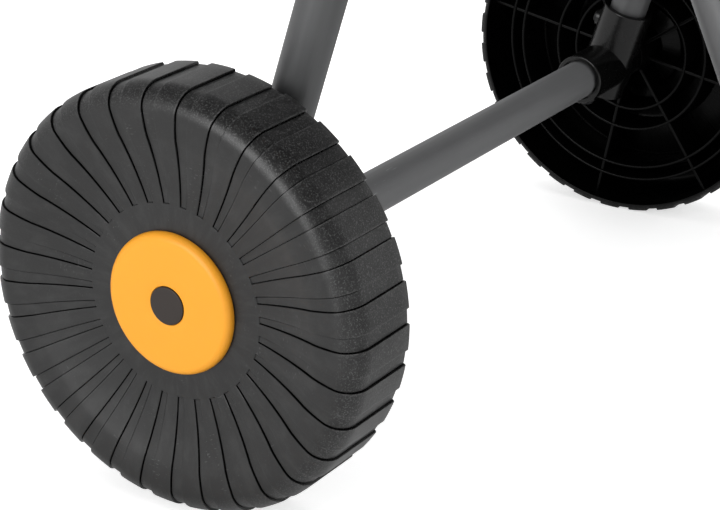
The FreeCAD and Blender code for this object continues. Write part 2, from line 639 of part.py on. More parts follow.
def thrust_washer():
    """Washer that keeps the reel from rubbing on the bearing's flange."""
    inner = FLANGE_HUB_FACE + END_PLAY
    return x_ring(REEL_CENTRE, inner, inner + THRUST_WASHER, THRUST_WASHER_R, SHAFT_R + RUNNING)


# ---- frame tubes --------------------------------------------------------------------------------
def drilled(shape, seats):
    """A tube with the holes of the screws that pin it."""
    for seat, outward in seats:
        shape = shape.cut(screw_hole(seat, outward))
    return shape


def wheel_leg():
    """Straight tube from the wheel bracket up to the side bracket."""
    length = LEG_LENGTH - SOCKET_FLOOR - BRACKET_TUBE_START
    leg = tube(AXLE_AT + WHEEL_LEG_DIR * SOCKET_FLOOR, WHEEL_LEG_DIR, length)
    return drilled(leg, [wheel_bracket_screws()[0], bracket_screws()[0]])


def front_leg():
    """Straight tube from the foot fitting up to the side bracket."""
    start = SOCKET_FLOOR + TUBE_WALL
    leg = tube(FOOT_AT + FRONT_LEG_DIR * start, FRONT_LEG_DIR, FRONT_LEG_LENGTH - start - BRACKET_TUBE_START)
    return drilled(leg, [foot_screws()[0], bracket_screws()[1]])


def mirrored_seats(seats):
    """Screw seats of the other side."""
    flip = [(Vec(-s.x, s.y, s.z), Vec(-o.x, o.y, o.z)) for s, o in seats]
    return seats + flip


def axle_tube():
    """Straight tube between the two wheel brackets, round the axle rod."""
    half = FRAME_HALF - SOCKET_FLOOR
    shape = tube(Vec(-half, 0, WHEEL_R), X_DIR, 2 * half)
    return drilled(shape, mirrored_seats(wheel_bracket_screws()[1:]))


def front_tube():
    """Straight tube between the two foot fittings."""
    half = FRAME_HALF - SOCKET_FLOOR
    shape = tube(Vec(-half, FOOT_AT.y, FOOT_AT.z), X_DIR, 2 * half)
    return drilled(shape, mirrored_seats(foot_screws()[1:]))


def handle_path():
    """Centre line of the handle: up one side, across the top and down the other."""
    start = REEL_CENTRE + FRONT_LEG_DIR * BRACKET_TUBE_START
    top = REEL_CENTRE + FRONT_LEG_DIR * HANDLE_REACH
    side = X_DIR * FRAME_HALF
    bend_start = top - FRONT_LEG_DIR * HANDLE_BEND_R
    inner = X_DIR * (FRAME_HALF - HANDLE_BEND_R)
    mid_out = X_DIR * (FRAME_HALF - HANDLE_BEND_R * (1 - math.cos(math.radians(45))))
    mid_up = FRONT_LEG_DIR * (-HANDLE_BEND_R * (1 - math.sin(math.radians(45))))
    edges = [
        Part.LineSegment(start - side, bend_start - side),
        Part.Arc(bend_start - side, top - mid_out + mid_up, top - inner),
        Part.LineSegment(top - inner, top + inner),
        Part.Arc(top + inner, top + mid_out + mid_up, bend_start + side),
        Part.LineSegment(bend_start + side, start + side),
    ]
    return Part.Wire([e.toShape() for e in edges])


def handle_sweep(radius):
    """A round bar of one radius along the handle's centre line."""
    start = REEL_CENTRE + FRONT_LEG_DIR * BRACKET_TUBE_START - X_DIR * FRAME_HALF
    ring = Part.Wire(Part.makeCircle(radius, start, FRONT_LEG_DIR))
    return handle_path().makePipeShell([ring], True, True)


def handle_tube():
    """U-shaped push handle, its two ends in the side brackets."""
    shape = handle_sweep(TUBE_R).cut(handle_sweep(TUBE_R - TUBE_WALL))
    return drilled(shape, mirrored_seats(bracket_screws()[2:]))


def handle_grip():
    """Soft sleeve on the handle's cross part."""
    top = REEL_CENTRE + FRONT_LEG_DIR * HANDLE_REACH
    half = GRIP_LENGTH / 2
    body = x_rod(top, -half, half, TUBE_R + GRIP_WALL)
    rims = [e for e in body.Edges if abs(abs(e.CenterOfMass.x) - half) < SLIP]
    body = body.makeFillet(GRIP_WALL * 2 / 3, rims)
    return body.cut(x_rod(top, -half - CUT_PAST, half + CUT_PAST, TUBE_R + SLIP))


# ---- reel (flanges built on the +X side) ----------------------------------------------------------
def stub_screw_seats():
    """Seats of the screws that fix a shaft stub to its flange, with their heads inside the drum."""
    seat = Vec(FLANGE_FACE - STUB_FLANGE, REEL_CENTRE.y, REEL_CENTRE.z + STUB_SCREW_CIRCLE_R)
    step = FULL_TURN / STUB_SCREW_COUNT
    turns = [FreeCAD.Rotation(X_DIR, step * i) for i in range(STUB_SCREW_COUNT)]
    return [(REEL_CENTRE + turn.multVec(seat - REEL_CENTRE), X_DIR * -1) for turn in turns]


def flange_window():
    """What one window takes from the flange: a sector with rounded corners."""
    half = math.radians(WINDOW_ANGLE / 2)

    def at(radius, angle):
        return REEL_CENTRE + Vec(FLANGE_FACE - CUT_PAST, radius * math.sin(angle), radius * math.cos(angle))

    edges = [
        Part.Arc(at(WINDOW_INNER_R, -half), at(WINDOW_INNER_R, 0), at(WINDOW_INNER_R, half)),
        Part.LineSegment(at(WINDOW_INNER_R, half), at(WINDOW_OUTER_R, half)),
        Part.Arc(at(WINDOW_OUTER_R, half), at(WINDOW_OUTER_R, 0), at(WINDOW_OUTER_R, -half)),
        Part.LineSegment(at(WINDOW_OUTER_R, -half), at(WINDOW_INNER_R, -half)),
    ]
    sector = Part.Face(Part.Wire([e.toShape() for e in edges])).extrude(X_DIR * (FLANGE_PLATE + 2 * CUT_PAST))
    along = [e for e in sector.Edges if abs(e.tangentAt(e.FirstParameter).x) > 0.5]
    return sector.makeFillet(WINDOW_ROUND, along)


def flange():
    """Ribbed side disc of the reel with a seat for the drum."""
    plate_out = FLANGE_FACE + FLANGE_PLATE
    rib_out = FLANGE_FACE + FLANGE_RIB
    half = FLANGE_RIB_WALL / 2
    body = x_rod(REEL_CENTRE, FLANGE_FACE, plate_out, FLANGE_R)
    seat_r = DRUM_R - DRUM_WALL - SLIP
    parts = [
        x_ring(REEL_CENTRE, FLANGE_FACE, FLANGE_FACE + FLANGE_LIP, FLANGE_R, FLANGE_R - FLANGE_LIP_WALL),
        x_ring(REEL_CENTRE, FLANGE_FACE - DRUM_SEAT_HEIGHT, plate_out, seat_r, seat_r - DRUM_SEAT_WALL),
        x_rod(REEL_CENTRE, FLANGE_FACE, FLANGE_HUB_FACE, FLANGE_HUB_R),
    ]
    parts += [x_ring(REEL_CENTRE, FLANGE_FACE, rib_out, r + half, r - half) for r in FLANGE_RING_RIBS]
    rib_start = FLANGE_HUB_R - half
    rib = Part.makeBox(FLANGE_RIB, FLANGE_RIB_WALL, FLANGE_R - FLANGE_LIP_WALL / 2 - rib_start)
    rib.translate(REEL_CENTRE + Vec(FLANGE_FACE, -half, rib_start))
    step = FULL_TURN / FLANGE_RIB_COUNT
    parts += round_about_x(rib, REEL_CENTRE, FLANGE_RIB_COUNT, step / 2)
    body = body.cut(group(round_about_x(flange_window(), REEL_CENTRE, FLANGE_RIB_COUNT)))
    body = body.multiFuse(parts)
    band_r = FLANGE_RING_RIBS[1]
    body = body.fuse(x_ring(REEL_CENTRE, FLANGE_FACE, plate_out, band_r + 2 * half, band_r - 2 * half))
    body = body.cut(x_rod(REEL_CENTRE, FLANGE_FACE - CUT_PAST, FLANGE_HUB_FACE + CUT_PAST, SHAFT_R + SLIP))
    for seat, outward in stub_screw_seats():
        body = body.cut(screw_hole(seat, outward, length=STUB_FLANGE + FLANGE_PLATE + FLANGE_RIB))
    return body.cut(group(tie_holes()))


def tie_seat():
    """Middle of the first tie bolt, before it is turned to its place."""
    return REEL_CENTRE + Z_DIR * TIE_CIRCLE_R


def tie_holes():
    """What the tie bolts need in the flanges."""
    hole = x_rod(tie_seat(), -FLANGE_HUB_FACE, FLANGE_HUB_FACE, TIE_R + SCREW_SLIP)
    return round_about_x(hole, REEL_CENTRE, TIE_COUNT, TIE_PHASE)


def tie_bolts():
    """Long bolts that clamp the flanges on the drum, heads on the crank side."""
    face = FLANGE_FACE + FLANGE_PLATE
    seat = Vec(face, tie_seat().y, tie_seat().z)
    length = 2 * face + TIE_HEAD_HEIGHT + TIE_PAST_NUT
    bolt = screw(seat, X_DIR, TIE_R, TIE_HEAD_R, TIE_HEAD_HEIGHT, length)
    return round_about_x(bolt, REEL_CENTRE, TIE_COUNT, TIE_PHASE)


def tie_nuts():
    """Hexagon nuts of the tie bolts, on the inlet side."""
    face = FLANGE_FACE + FLANGE_PLATE
    corner = [Vec(0, TIE_HEAD_R * math.sin(math.radians(60 * i)), TIE_HEAD_R * math.cos(math.radians(60 * i)))
              for i in range(6)]
    hexagon = Part.Face(Part.makePolygon(corner + corner[:1])).extrude(X_DIR * -TIE_HEAD_HEIGHT)
    hexagon.translate(Vec(-face, tie_seat().y, tie_seat().z))
    hole = x_rod(tie_seat(), -face - TIE_HEAD_HEIGHT - CUT_PAST, -face + CUT_PAST, TIE_R + SLIP)
    return round_about_x(hexagon.cut(hole), REEL_CENTRE, TIE_COUNT, TIE_PHASE)


def drum():
    """Winding drum between the flanges, with low ribs along it and the outlet's hole."""
    body = x_rod(REEL_CENTRE, -FLANGE_FACE, FLANGE_FACE, DRUM_R)
    rib = Part.makeBox(2 * FLANGE_FACE, DRUM_RIB_WIDTH, DRUM_WALL + DRUM_RIB_HEIGHT)
    rib.translate(REEL_CENTRE + Vec(-FLANGE_FACE, -DRUM_RIB_WIDTH / 2, DRUM_R - DRUM_WALL))
    body = body.multiFuse(round_about_x(rib, REEL_CENTRE, DRUM_RIB_COUNT, FULL_TURN / DRUM_RIB_COUNT / 2))
    body = body.cut(x_rod(REEL_CENTRE, -FLANGE_FACE - CUT_PAST, FLANGE_FACE + CUT_PAST, DRUM_R - DRUM_WALL))
    return body.cut(rod(outlet_axis(0), OUTLET_DIR, OUTLET_R + DRUM_HOLE_GAP, FLANGE_R))


def shaft_stub(outer_end):
    """Shaft with a disc that screws to the flange from inside the drum, on the +X side."""
    disc = x_rod(REEL_CENTRE, FLANGE_FACE - STUB_FLANGE, FLANGE_FACE, STUB_FLANGE_R)
    body = disc.fuse(x_rod(REEL_CENTRE, FLANGE_FACE - STUB_FLANGE, outer_end, SHAFT_R))
    for seat, outward in stub_screw_seats():
        body = body.cut(screw_hole(seat, outward, length=STUB_FLANGE + FLANGE_PLATE))
    return body


def stub_screws():
    """Screws that hold a shaft stub to its flange."""
    return [screw(seat, outward, length=STUB_FLANGE + FLANGE_PLATE) for seat, outward in stub_screw_seats()]


def square_bar(centre, x_from, x_to, side):
    """Square bar along X, turned with the crank arm."""
    bar = Part.makeBox(x_to - x_from, side, side, Vec(x_from, centre.y - side / 2, centre.z - side / 2))
    return about_x(bar, centre, -CRANK_ANGLE)


def crank_shaft():
    """Solid stub on the crank side, with a square end for the crank arm."""
    body = shaft_stub(CRANK_IN - END_PLAY)
    square_end = CRANK_OUT - CRANK_RECESS_DEPTH
    body = body.fuse(square_bar(REEL_CENTRE, CRANK_IN - END_PLAY, square_end, CRANK_SQUARE))
    hole_from = square_end - CRANK_SCREW_DEPTH - SCREW_SLIP
    return body.cut(x_rod(REEL_CENTRE, hole_from, CRANK_OUT, CRANK_SCREW_R + SCREW_SLIP))


def crank_arm():
    """Tapering crank arm with a square socket at the shaft and a boss at the knob's pin."""
    hub = x_rod(REEL_CENTRE, CRANK_IN, CRANK_OUT, CRANK_HUB_R)
    end = x_rod(CRANK_PIN_AT, CRANK_IN, CRANK_OUT, CRANK_END_R)
    across = CRANK_DIR.cross(X_DIR)
    corners = [
        REEL_CENTRE + across * (CRANK_HUB_R * 0.8),
        CRANK_PIN_AT + across * (CRANK_END_R * 0.75),
        CRANK_PIN_AT - across * (CRANK_END_R * 0.75),
        REEL_CENTRE - across * (CRANK_HUB_R * 0.8),
    ]
    web = Part.Face(Part.makePolygon(corners + corners[:1])).extrude(X_DIR * (CRANK_THICKNESS * 0.7))
    web.translate(X_DIR * CRANK_IN)
    body = hub.fuse(end).fuse(web)
    side = CRANK_SQUARE + 2 * CRANK_SQUARE_SLIP
    socket = square_bar(REEL_CENTRE, CRANK_IN - CUT_PAST, CRANK_OUT + CUT_PAST, side)
    recess = x_rod(REEL_CENTRE, CRANK_OUT - CRANK_RECESS_DEPTH, CRANK_OUT + CUT_PAST, CRANK_SQUARE)
    pin_hole = x_rod(CRANK_PIN_AT, CRANK_IN - CUT_PAST, CRANK_OUT + CUT_PAST, PIN_R)
    return body.cut(socket).cut(recess).cut(pin_hole)


def crank_screw():
    """Screw and wide washer that hold the crank arm on the shaft, one piece."""
    seat = Vec(CRANK_OUT - CRANK_RECESS_DEPTH, REEL_CENTRE.y, REEL_CENTRE.z)
    washer = x_rod(REEL_CENTRE, seat.x, seat.x + WASHER_THICKNESS, CRANK_SQUARE - CUT_PAST)
    top = seat + X_DIR * WASHER_THICKNESS
    head = screw(top, X_DIR, CRANK_SCREW_R, CRANK_SCREW_HEAD_R, CRANK_SCREW_HEAD_HEIGHT, CRANK_SCREW_DEPTH)
    return head.fuse(washer)


def crank_pin():
    """Riveted pin that the knob turns on, with a head that keeps the knob from pulling off."""
    head_out = KNOB_OUT - KNOB_CAP_PLUG - END_PLAY
    shank = x_rod(CRANK_PIN_AT, CRANK_IN, head_out, PIN_R)
    return shank.fuse(x_rod(CRANK_PIN_AT, head_out - PIN_HEAD, head_out, PIN_HEAD_R))


def crank_knob():
    """Waisted hand knob with a bore for the pin and a recess for the pin's head."""
    third = KNOB_LENGTH / 3
    bulge = (KNOB_OUT - third / 2, KNOB_BULGE_R)
    brow = (KNOB_OUT - third / 6, (KNOB_R + KNOB_BULGE_R) / 2)
    profile = [
        line((KNOB_IN, 0), (KNOB_IN, KNOB_NECK_R)),
        arc((KNOB_IN, KNOB_NECK_R), (KNOB_IN + third, KNOB_R), bulge),
        arc(bulge, brow, (KNOB_OUT, KNOB_CAP_R)),
        line((KNOB_OUT, KNOB_CAP_R), (KNOB_OUT, 0)),
        line((KNOB_OUT, 0), (KNOB_IN, 0)),
    ]
    body = turned(CRANK_PIN_AT, profile)
    recess_in = KNOB_OUT - KNOB_CAP_PLUG - END_PLAY - PIN_HEAD - END_PLAY
    body = body.cut(x_rod(CRANK_PIN_AT, recess_in, KNOB_OUT + CUT_PAST, KNOB_RECESS_R))
    return body.cut(x_rod(CRANK_PIN_AT, KNOB_IN - CUT_PAST, KNOB_OUT, PIN_R + RUNNING))


def knob_cap():
    """Cap that closes the knob's outer end."""
    dome = x_rod(CRANK_PIN_AT, KNOB_OUT, KNOB_END, KNOB_CAP_R)
    rim = [e for e in dome.Edges if abs(e.CenterOfMass.x - KNOB_END) < SLIP]
    dome = dome.makeFillet(KNOB_CAP_DOME * 0.8, rim)
    return dome.fuse(x_rod(CRANK_PIN_AT, KNOB_OUT - KNOB_CAP_PLUG, KNOB_OUT, KNOB_RECESS_R - SLIP))


# ---- water path (inlet side built on +X, then mirrored) -------------------------------------------
def groove_place(from_end):
    """X place of a groove on the inlet pipe's nose."""
    return NOSE_END - from_end


def inlet_pipe():
    """Hollow stub on the inlet side: it carries the reel and brings the water into the drum."""
    body = shaft_stub(NOSE_START)
    body = body.fuse(x_rod(REEL_CENTRE, NOSE_START, NOSE_END, NOSE_R))
    body = body.fuse(x_rod(REEL_CENTRE, PIPE_INNER_END, FLANGE_FACE, NOSE_R))
    body = body.cut(x_rod(REEL_CENTRE, PIPE_INNER_END - CUT_PAST, NOSE_END + CUT_PAST, WATER_R))
    seal_floor = NOSE_R + RUNNING - SEAL_GAP - 2 * SEAL_R
    seal_x = groove_place(SEAL_FROM_END)
    body = body.cut(x_ring(REEL_CENTRE, seal_x - SEAL_R, seal_x + SEAL_R, NOSE_R + CUT_PAST, seal_floor))
    clip_x = groove_place(CLIP_FROM_END)
    half = CLIP_R + END_PLAY
    floor_r = NOSE_R - CLIP_GROOVE_DEPTH
    return body.cut(x_ring(REEL_CENTRE, clip_x - half, clip_x + half, NOSE_R + CUT_PAST, floor_r))


def inlet_seal():
    """O-ring on the inlet pipe's nose."""
    centre_r = NOSE_R + RUNNING - SEAL_GAP - SEAL_R
    at = Vec(groove_place(SEAL_FROM_END), REEL_CENTRE.y, REEL_CENTRE.z)
    return Part.makeTorus(centre_r, SEAL_R, at, X_DIR)


def clip_leg_y():
    """Distance of the clip's legs from the reel axis."""
    return NOSE_R - CLIP_GROOVE_DEPTH + CLIP_R + END_PLAY


def clip_ends():
    """Lower and upper ends of the clip's leg on the +Y side."""
    x = groove_place(CLIP_FROM_END)
    reach = SWIVEL_R + CLIP_ARM_PAST
    return REEL_CENTRE + Vec(x, clip_leg_y(), -reach), REEL_CENTRE + Vec(x, clip_leg_y(), reach)


def swivel_clip():
    """U-shaped wire clip: two legs through the elbow and a round bridge over it."""
    low, high = clip_ends()
    across = Y_DIR * (2 * clip_leg_y())
    over = high - Y_DIR * clip_leg_y() + Z_DIR * clip_leg_y()
    edges = [
        Part.LineSegment(low, high),
        Part.Arc(high, over, high - across),
        Part.LineSegment(high - across, low - across),
    ]
    path = Part.Wire([e.toShape() for e in edges])
    return path.makePipeShell([Part.Wire(Part.makeCircle(CLIP_R, low, Z_DIR))], True, True)


def clip_holes():
    """What the clip's legs need in the elbow."""
    low, high = clip_ends()
    hole = rod(low, Z_DIR, CLIP_R + SLIP, (high - low).Length)
    other = hole.copy()
    other.translate(Y_DIR * (-2 * clip_leg_y()))
    return group([hole, other])


def swivel_elbow():
    """Elbow that turns on the inlet pipe's nose and sends its branch down."""
    body = x_rod(REEL_CENTRE, SWIVEL_IN, SWIVEL_OUT, SWIVEL_R)
    rims = [e for e in body.Edges if e.Length > math.tau * SWIVEL_R * 0.9]
    body = body.makeFillet(2 * CUT_PAST, rims)
    centre = Vec(BRANCH_AT, REEL_CENTRE.y, REEL_CENTRE.z)
    body = body.fuse(rod(centre, DOWN, SWIVEL_BRANCH_R, SWIVEL_BRANCH_REACH))
    body = body.cut(x_rod(REEL_CENTRE, SWIVEL_IN - CUT_PAST, NOSE_END + END_PLAY, NOSE_R + RUNNING))
    body = body.cut(x_rod(REEL_CENTRE, NOSE_END, CHAMBER_END, WATER_R))
    body = body.cut(rod(centre, DOWN, BRANCH_WATER_R, SWIVEL_BRANCH_REACH + CUT_PAST))
    thread_top = centre + DOWN * (SWIVEL_BRANCH_REACH - SPIGOT_THREAD - SLIP)
    body = body.cut(rod(thread_top, DOWN, SPIGOT_THREAD_R + SLIP, SPIGOT_THREAD + CUT_PAST))
    return body.cut(clip_holes())


def inlet_branch_end():
    """Middle of the swivel branch's end face, where its spigot's collar seats."""
    return Vec(BRANCH_AT, REEL_CENTRE.y, REEL_CENTRE.z - SWIVEL_BRANCH_REACH)


def spigot(seat, outward):
    """Quick-connect spigot. seat is the middle of the face under its collar."""
    steps = [
        (SPIGOT_COLLAR_R, SPIGOT_COLLAR),
        (SPIGOT_NECK_R, SPIGOT_NECK),
        (SPIGOT_R, SPIGOT_LAND),
        (SPIGOT_R - 2 * SPIGOT_SEAL_R - SPIGOT_SEAL_SUNK, 2 * SPIGOT_SEAL_R),
        (SPIGOT_R, SPIGOT_TIP),
    ]
    body = rod(seat - outward * SPIGOT_THREAD, outward, SPIGOT_THREAD_R, SPIGOT_THREAD)
    at = seat
    for radius, length in steps:
        body = body.fuse(rod(at, outward, radius, length))
        at = at + outward * length
    rim = [e for e in body.Edges if abs((e.CenterOfMass - at).dot(outward)) < SLIP]
    body = body.makeChamfer(SPIGOT_SEAL_R, rim)
    bore_length = (at - seat).Length + SPIGOT_THREAD + 2 * CUT_PAST
    return body.cut(rod(at + outward * CUT_PAST, outward * -1, WATER_R - CUT_PAST / 2, bore_length))


def spigot_seal(seat, outward):
    """O-ring in the spigot's groove, flush with the land."""
    along = SPIGOT_COLLAR + SPIGOT_NECK + SPIGOT_LAND + SPIGOT_SEAL_R
    ring_r = SPIGOT_R - SPIGOT_SEAL_SUNK - SPIGOT_SEAL_R
    return Part.makeTorus(ring_r, SPIGOT_SEAL_R, seat + outward * along, outward)


def outlet_axis(radius):
    """Point on the outlet's line, that far from the reel axis, on the inlet side."""
    return REEL_CENTRE + Vec(-OUTLET_LINE, 0, 0) + OUTLET_DIR * radius


def outlet_elbow():
    """Elbow inside the drum that turns the water toward the outlet."""
    x_in = -PIPE_INNER_END - OUTLET_SOCKET
    body = rod(outlet_axis(-OUTLET_R), OUTLET_DIR, OUTLET_R, OUTLET_REACH + OUTLET_R)
    body = body.fuse(x_rod(REEL_CENTRE, x_in, -OUTLET_LINE, OUTLET_SOCKET_R))
    body = body.cut(x_rod(REEL_CENTRE, x_in - CUT_PAST, -PIPE_INNER_END, NOSE_R + SLIP))
    body = body.cut(x_rod(REEL_CENTRE, x_in, -OUTLET_LINE, WATER_R))
    body = body.cut(rod(outlet_axis(0), OUTLET_DIR, BRANCH_WATER_R, OUTLET_REACH + CUT_PAST))
    thread_at = outlet_axis(OUTLET_REACH - SPIGOT_THREAD - SLIP)
    return body.cut(rod(thread_at, OUTLET_DIR, SPIGOT_THREAD_R + SLIP, SPIGOT_THREAD + CUT_PAST))


# ---- all the nodes --------------------------------------------------------------------------------
def both_sides(name, shape):
    """The right and the left copy of a piece, as two nodes."""
    return {name + "_right": shape, name + "_left": mirrored(shape)}


def frame_nodes():
    """Everything that stands still."""
    nodes = {
        "axle_rod": axle_rod(),
        "axle_washers": group([axle_washer(), mirrored(axle_washer())]),
        "push_nuts": group([push_nut(), mirrored(push_nut())]),
        "axle_tube": axle_tube(),
        "front_tube": front_tube(),
        "handle_tube": handle_tube(),
        "handle_grip": handle_grip(),
    }
    nodes.update(both_sides("wheel_bracket", wheel_bracket()))
    nodes.update(both_sides("wheel_leg", wheel_leg()))
    nodes.update(both_sides("front_leg", front_leg()))
    nodes.update(both_sides("foot_fitting", foot_fitting()))
    nodes.update(both_sides("foot_pad", foot_pad()))
    nodes.update(both_sides("side_bracket", side_bracket()))
    nodes.update(both_sides("bearing_bush", bearing_bush()))
    nodes.update(both_sides("thrust_washer", thrust_washer()))
    nodes.update(both_sides("wheel_bracket_screws", group([screw(*s) for s in wheel_bracket_screws()])))
    nodes.update(both_sides("foot_screws", group([screw(*s) for s in foot_screws()])))
    nodes.update(both_sides("side_bracket_screws", group([screw(*s) for s in bracket_screws()])))
    return nodes


def wheel_nodes():
    """The two wheels with their caps."""
    nodes = both_sides("wheel", wheel())
    nodes.update(both_sides("hub_cap", hub_cap()))
    nodes.update(both_sides("cap_plug", cap_plug()))
    return nodes


def reel_nodes():
    """Everything that turns with the reel."""
    nodes = both_sides("reel_flange", flange())
    nodes.update({
        "drum": drum(),
        "tie_bolts": group(tie_bolts()),
        "tie_nuts": group(tie_nuts()),
        "crank_shaft": crank_shaft(),
        "inlet_pipe": mirrored(inlet_pipe()),
        "inlet_pipe_seal": mirrored(inlet_seal()),
        "shaft_screws": group(stub_screws() + [mirrored(s) for s in stub_screws()]),
        "outlet_elbow": outlet_elbow(),
        "outlet_spigot": spigot(outlet_axis(OUTLET_REACH), OUTLET_DIR),
        "outlet_seal": spigot_seal(outlet_axis(OUTLET_REACH), OUTLET_DIR),
        "crank_arm": crank_arm(),
        "crank_screw": crank_screw(),
        "crank_pin": crank_pin(),
    })
    return nodes


def hand_nodes():
    """The knob on the crank and the swivelling inlet."""
    return {
        "crank_knob": crank_knob(),
        "knob_cap": knob_cap(),
        "swivel_elbow": mirrored(swivel_elbow()),
        "swivel_clip": mirrored(swivel_clip()),
        "inlet_spigot": mirrored(spigot(inlet_branch_end(), DOWN)),
        "inlet_spigot_seal": mirrored(spigot_seal(inlet_branch_end(), DOWN)),
    }


def export(nodes):
    """Writes one STEP per node, in the row frame."""
    os.makedirs("parts", exist_ok=True)
    for name, shape in sorted(nodes.items()):
        placed = shape.copy()
        placed.translate(ROW_ORIGIN * -1)
        if not placed.isValid():
            print("not valid:", name)
        placed.exportStep("parts/" + name + ".step")


def report_places():
    """Prints the places that the record needs, in metres in the row frame."""
    inlet_land = inlet_branch_end().z - SPIGOT_COLLAR - SPIGOT_NECK
    places = {
        "wheel axle centre": AXLE_CENTRE,
        "reel centre": REEL_CENTRE,
        "crank pin": Vec(KNOB_IN, CRANK_PIN_AT.y, CRANK_PIN_AT.z),
        "foot pad": Vec(FOOT_AT.x, FOOT_AT.y, 0),
        "inlet land start": Vec(-BRANCH_AT, REEL_CENTRE.y, inlet_land),
        "outlet land start": outlet_axis(OUTLET_REACH + SPIGOT_COLLAR + SPIGOT_NECK),
        "handle top": REEL_CENTRE + FRONT_LEG_DIR * HANDLE_REACH,
    }
    for name, at in places.items():
        at = (at - ROW_ORIGIN) * 0.001
        print(f"{name}: {at.x:.5f} {at.y:.5f} {at.z:.5f}")


export({**frame_nodes(), **wheel_nodes(), **reel_nodes(), **hand_nodes()})
report_places()
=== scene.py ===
"""Looks of a garden hose reel cart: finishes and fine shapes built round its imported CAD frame."""
import logging
import math
from dataclasses import dataclass, field
from enum import Enum
from typing import Any, Iterable, Mapping, Sequence

import bmesh
import bpy
from mathutils import Matrix, Vector


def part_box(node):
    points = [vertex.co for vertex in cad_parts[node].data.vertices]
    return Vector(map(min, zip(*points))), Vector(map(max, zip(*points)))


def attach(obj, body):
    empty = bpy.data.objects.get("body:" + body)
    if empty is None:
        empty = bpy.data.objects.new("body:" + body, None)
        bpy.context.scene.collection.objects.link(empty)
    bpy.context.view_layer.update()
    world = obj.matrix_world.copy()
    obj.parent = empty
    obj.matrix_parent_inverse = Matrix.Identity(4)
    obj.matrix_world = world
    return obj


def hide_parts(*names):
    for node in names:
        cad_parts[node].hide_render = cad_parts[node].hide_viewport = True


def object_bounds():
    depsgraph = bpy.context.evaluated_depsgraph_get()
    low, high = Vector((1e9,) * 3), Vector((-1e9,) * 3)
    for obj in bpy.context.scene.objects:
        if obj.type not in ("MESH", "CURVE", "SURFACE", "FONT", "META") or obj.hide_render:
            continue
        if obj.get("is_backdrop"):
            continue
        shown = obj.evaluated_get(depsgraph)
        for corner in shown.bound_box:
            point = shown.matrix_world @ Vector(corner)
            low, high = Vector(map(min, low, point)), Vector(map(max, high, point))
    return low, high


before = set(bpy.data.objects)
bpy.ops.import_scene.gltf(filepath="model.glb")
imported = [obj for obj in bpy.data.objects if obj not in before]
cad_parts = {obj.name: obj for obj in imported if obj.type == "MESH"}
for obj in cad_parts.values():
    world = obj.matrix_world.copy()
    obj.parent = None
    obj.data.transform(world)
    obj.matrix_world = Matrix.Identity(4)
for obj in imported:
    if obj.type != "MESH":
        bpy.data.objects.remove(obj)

CAD_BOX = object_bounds()
LOG = logging.getLogger("hose_reel_cart")
MM = 0.001
FULL_TURN = math.tau
WELD = 1e-7            # distance below which two points of a mesh are one, in metres
SEAM_WELD = 2e-6       # the same where one pitch of a wheel meets the next
TOUCH = 1e-5           # distance below which a point counts as lying on a plane
PLAIN_SHARP = 38.0     # degrees from which an edge is shaded sharp
WHEEL_SHARP = 50.0

Colour = tuple[float, float, float]
Point = tuple[float, float]


# ---- places taken from the CAD -------------------------------------------------------------------
def middle(node: str) -> Vector:
    """Middle of a CAD node's box."""
    low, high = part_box(node)
    return (low + high) / 2


class Side(Enum):
    """The two sides of the cart, with the direction that points outboard."""

    LEFT = -1
    RIGHT = 1

    @property
    def label(self) -> str:
        """Ending of the names of this side's nodes."""
        return self.name.lower()

    def node(self, name: str) -> str:
        """Name of this side's copy of a CAD node."""
        return f"{name}_{self.label}"


@dataclass(frozen=True)
class Places:
    """Where the CAD has the cart's main axes.

    Attributes:
        axle: Middle of the wheel axle.
        reel: Middle of the reel's axle, on the cart's centre plane.
        leg_x: Place along X of the plane that holds each side's legs.
    """

    axle: Vector
    reel: Vector
    leg_x: dict[Side, float]

    @classmethod
    def from_frame(cls) -> "Places":
        """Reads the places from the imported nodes' boxes."""
        leg_x = {side: middle(side.node("wheel_leg")).x for side in Side}
        return cls(middle("axle_tube"), middle("drum"), leg_x)

    def tee(self, side: Side) -> Vector:
        """Middle of one side's wheel bracket."""
        return Vector((self.leg_x[side], self.axle.y, self.axle.z))


# ---- shader graphs -------------------------------------------------------------------------------
class Sock:
    """A node socket that takes part in Python arithmetic."""

    def __init__(self, graph: "Graph", socket: bpy.types.NodeSocket) -> None:
        """Keeps the socket and the graph that it belongs to."""
        self.graph = graph
        self.socket = socket

    def __add__(self, other: "Value") -> "Sock":
        """Sum of two values."""
        return self.graph.math("ADD", self, other)

    def __sub__(self, other: "Value") -> "Sock":
        """Difference of two values."""
        return self.graph.math("SUBTRACT", self, other)

    def __mul__(self, other: "Value") -> "Sock":
        """Product of two values."""
        return self.graph.math("MULTIPLY", self, other)

    def __rsub__(self, other: float) -> "Sock":
        """A number minus this value."""
        return self.graph.math("SUBTRACT", other, self)

    __radd__ = __add__
    __rmul__ = __mul__

    def over(self, low: float, high: float) -> "Sock":
        """Smooth step of this value: 0 up to low, 1 from high on."""
        settings = {"interpolation_type": "SMOOTHSTEP"}
        values = {"Value": self, "From Min": low, "From Max": high}
        return self.graph.out("ShaderNodeMapRange", settings, values, "Result")


Value = Sock | float


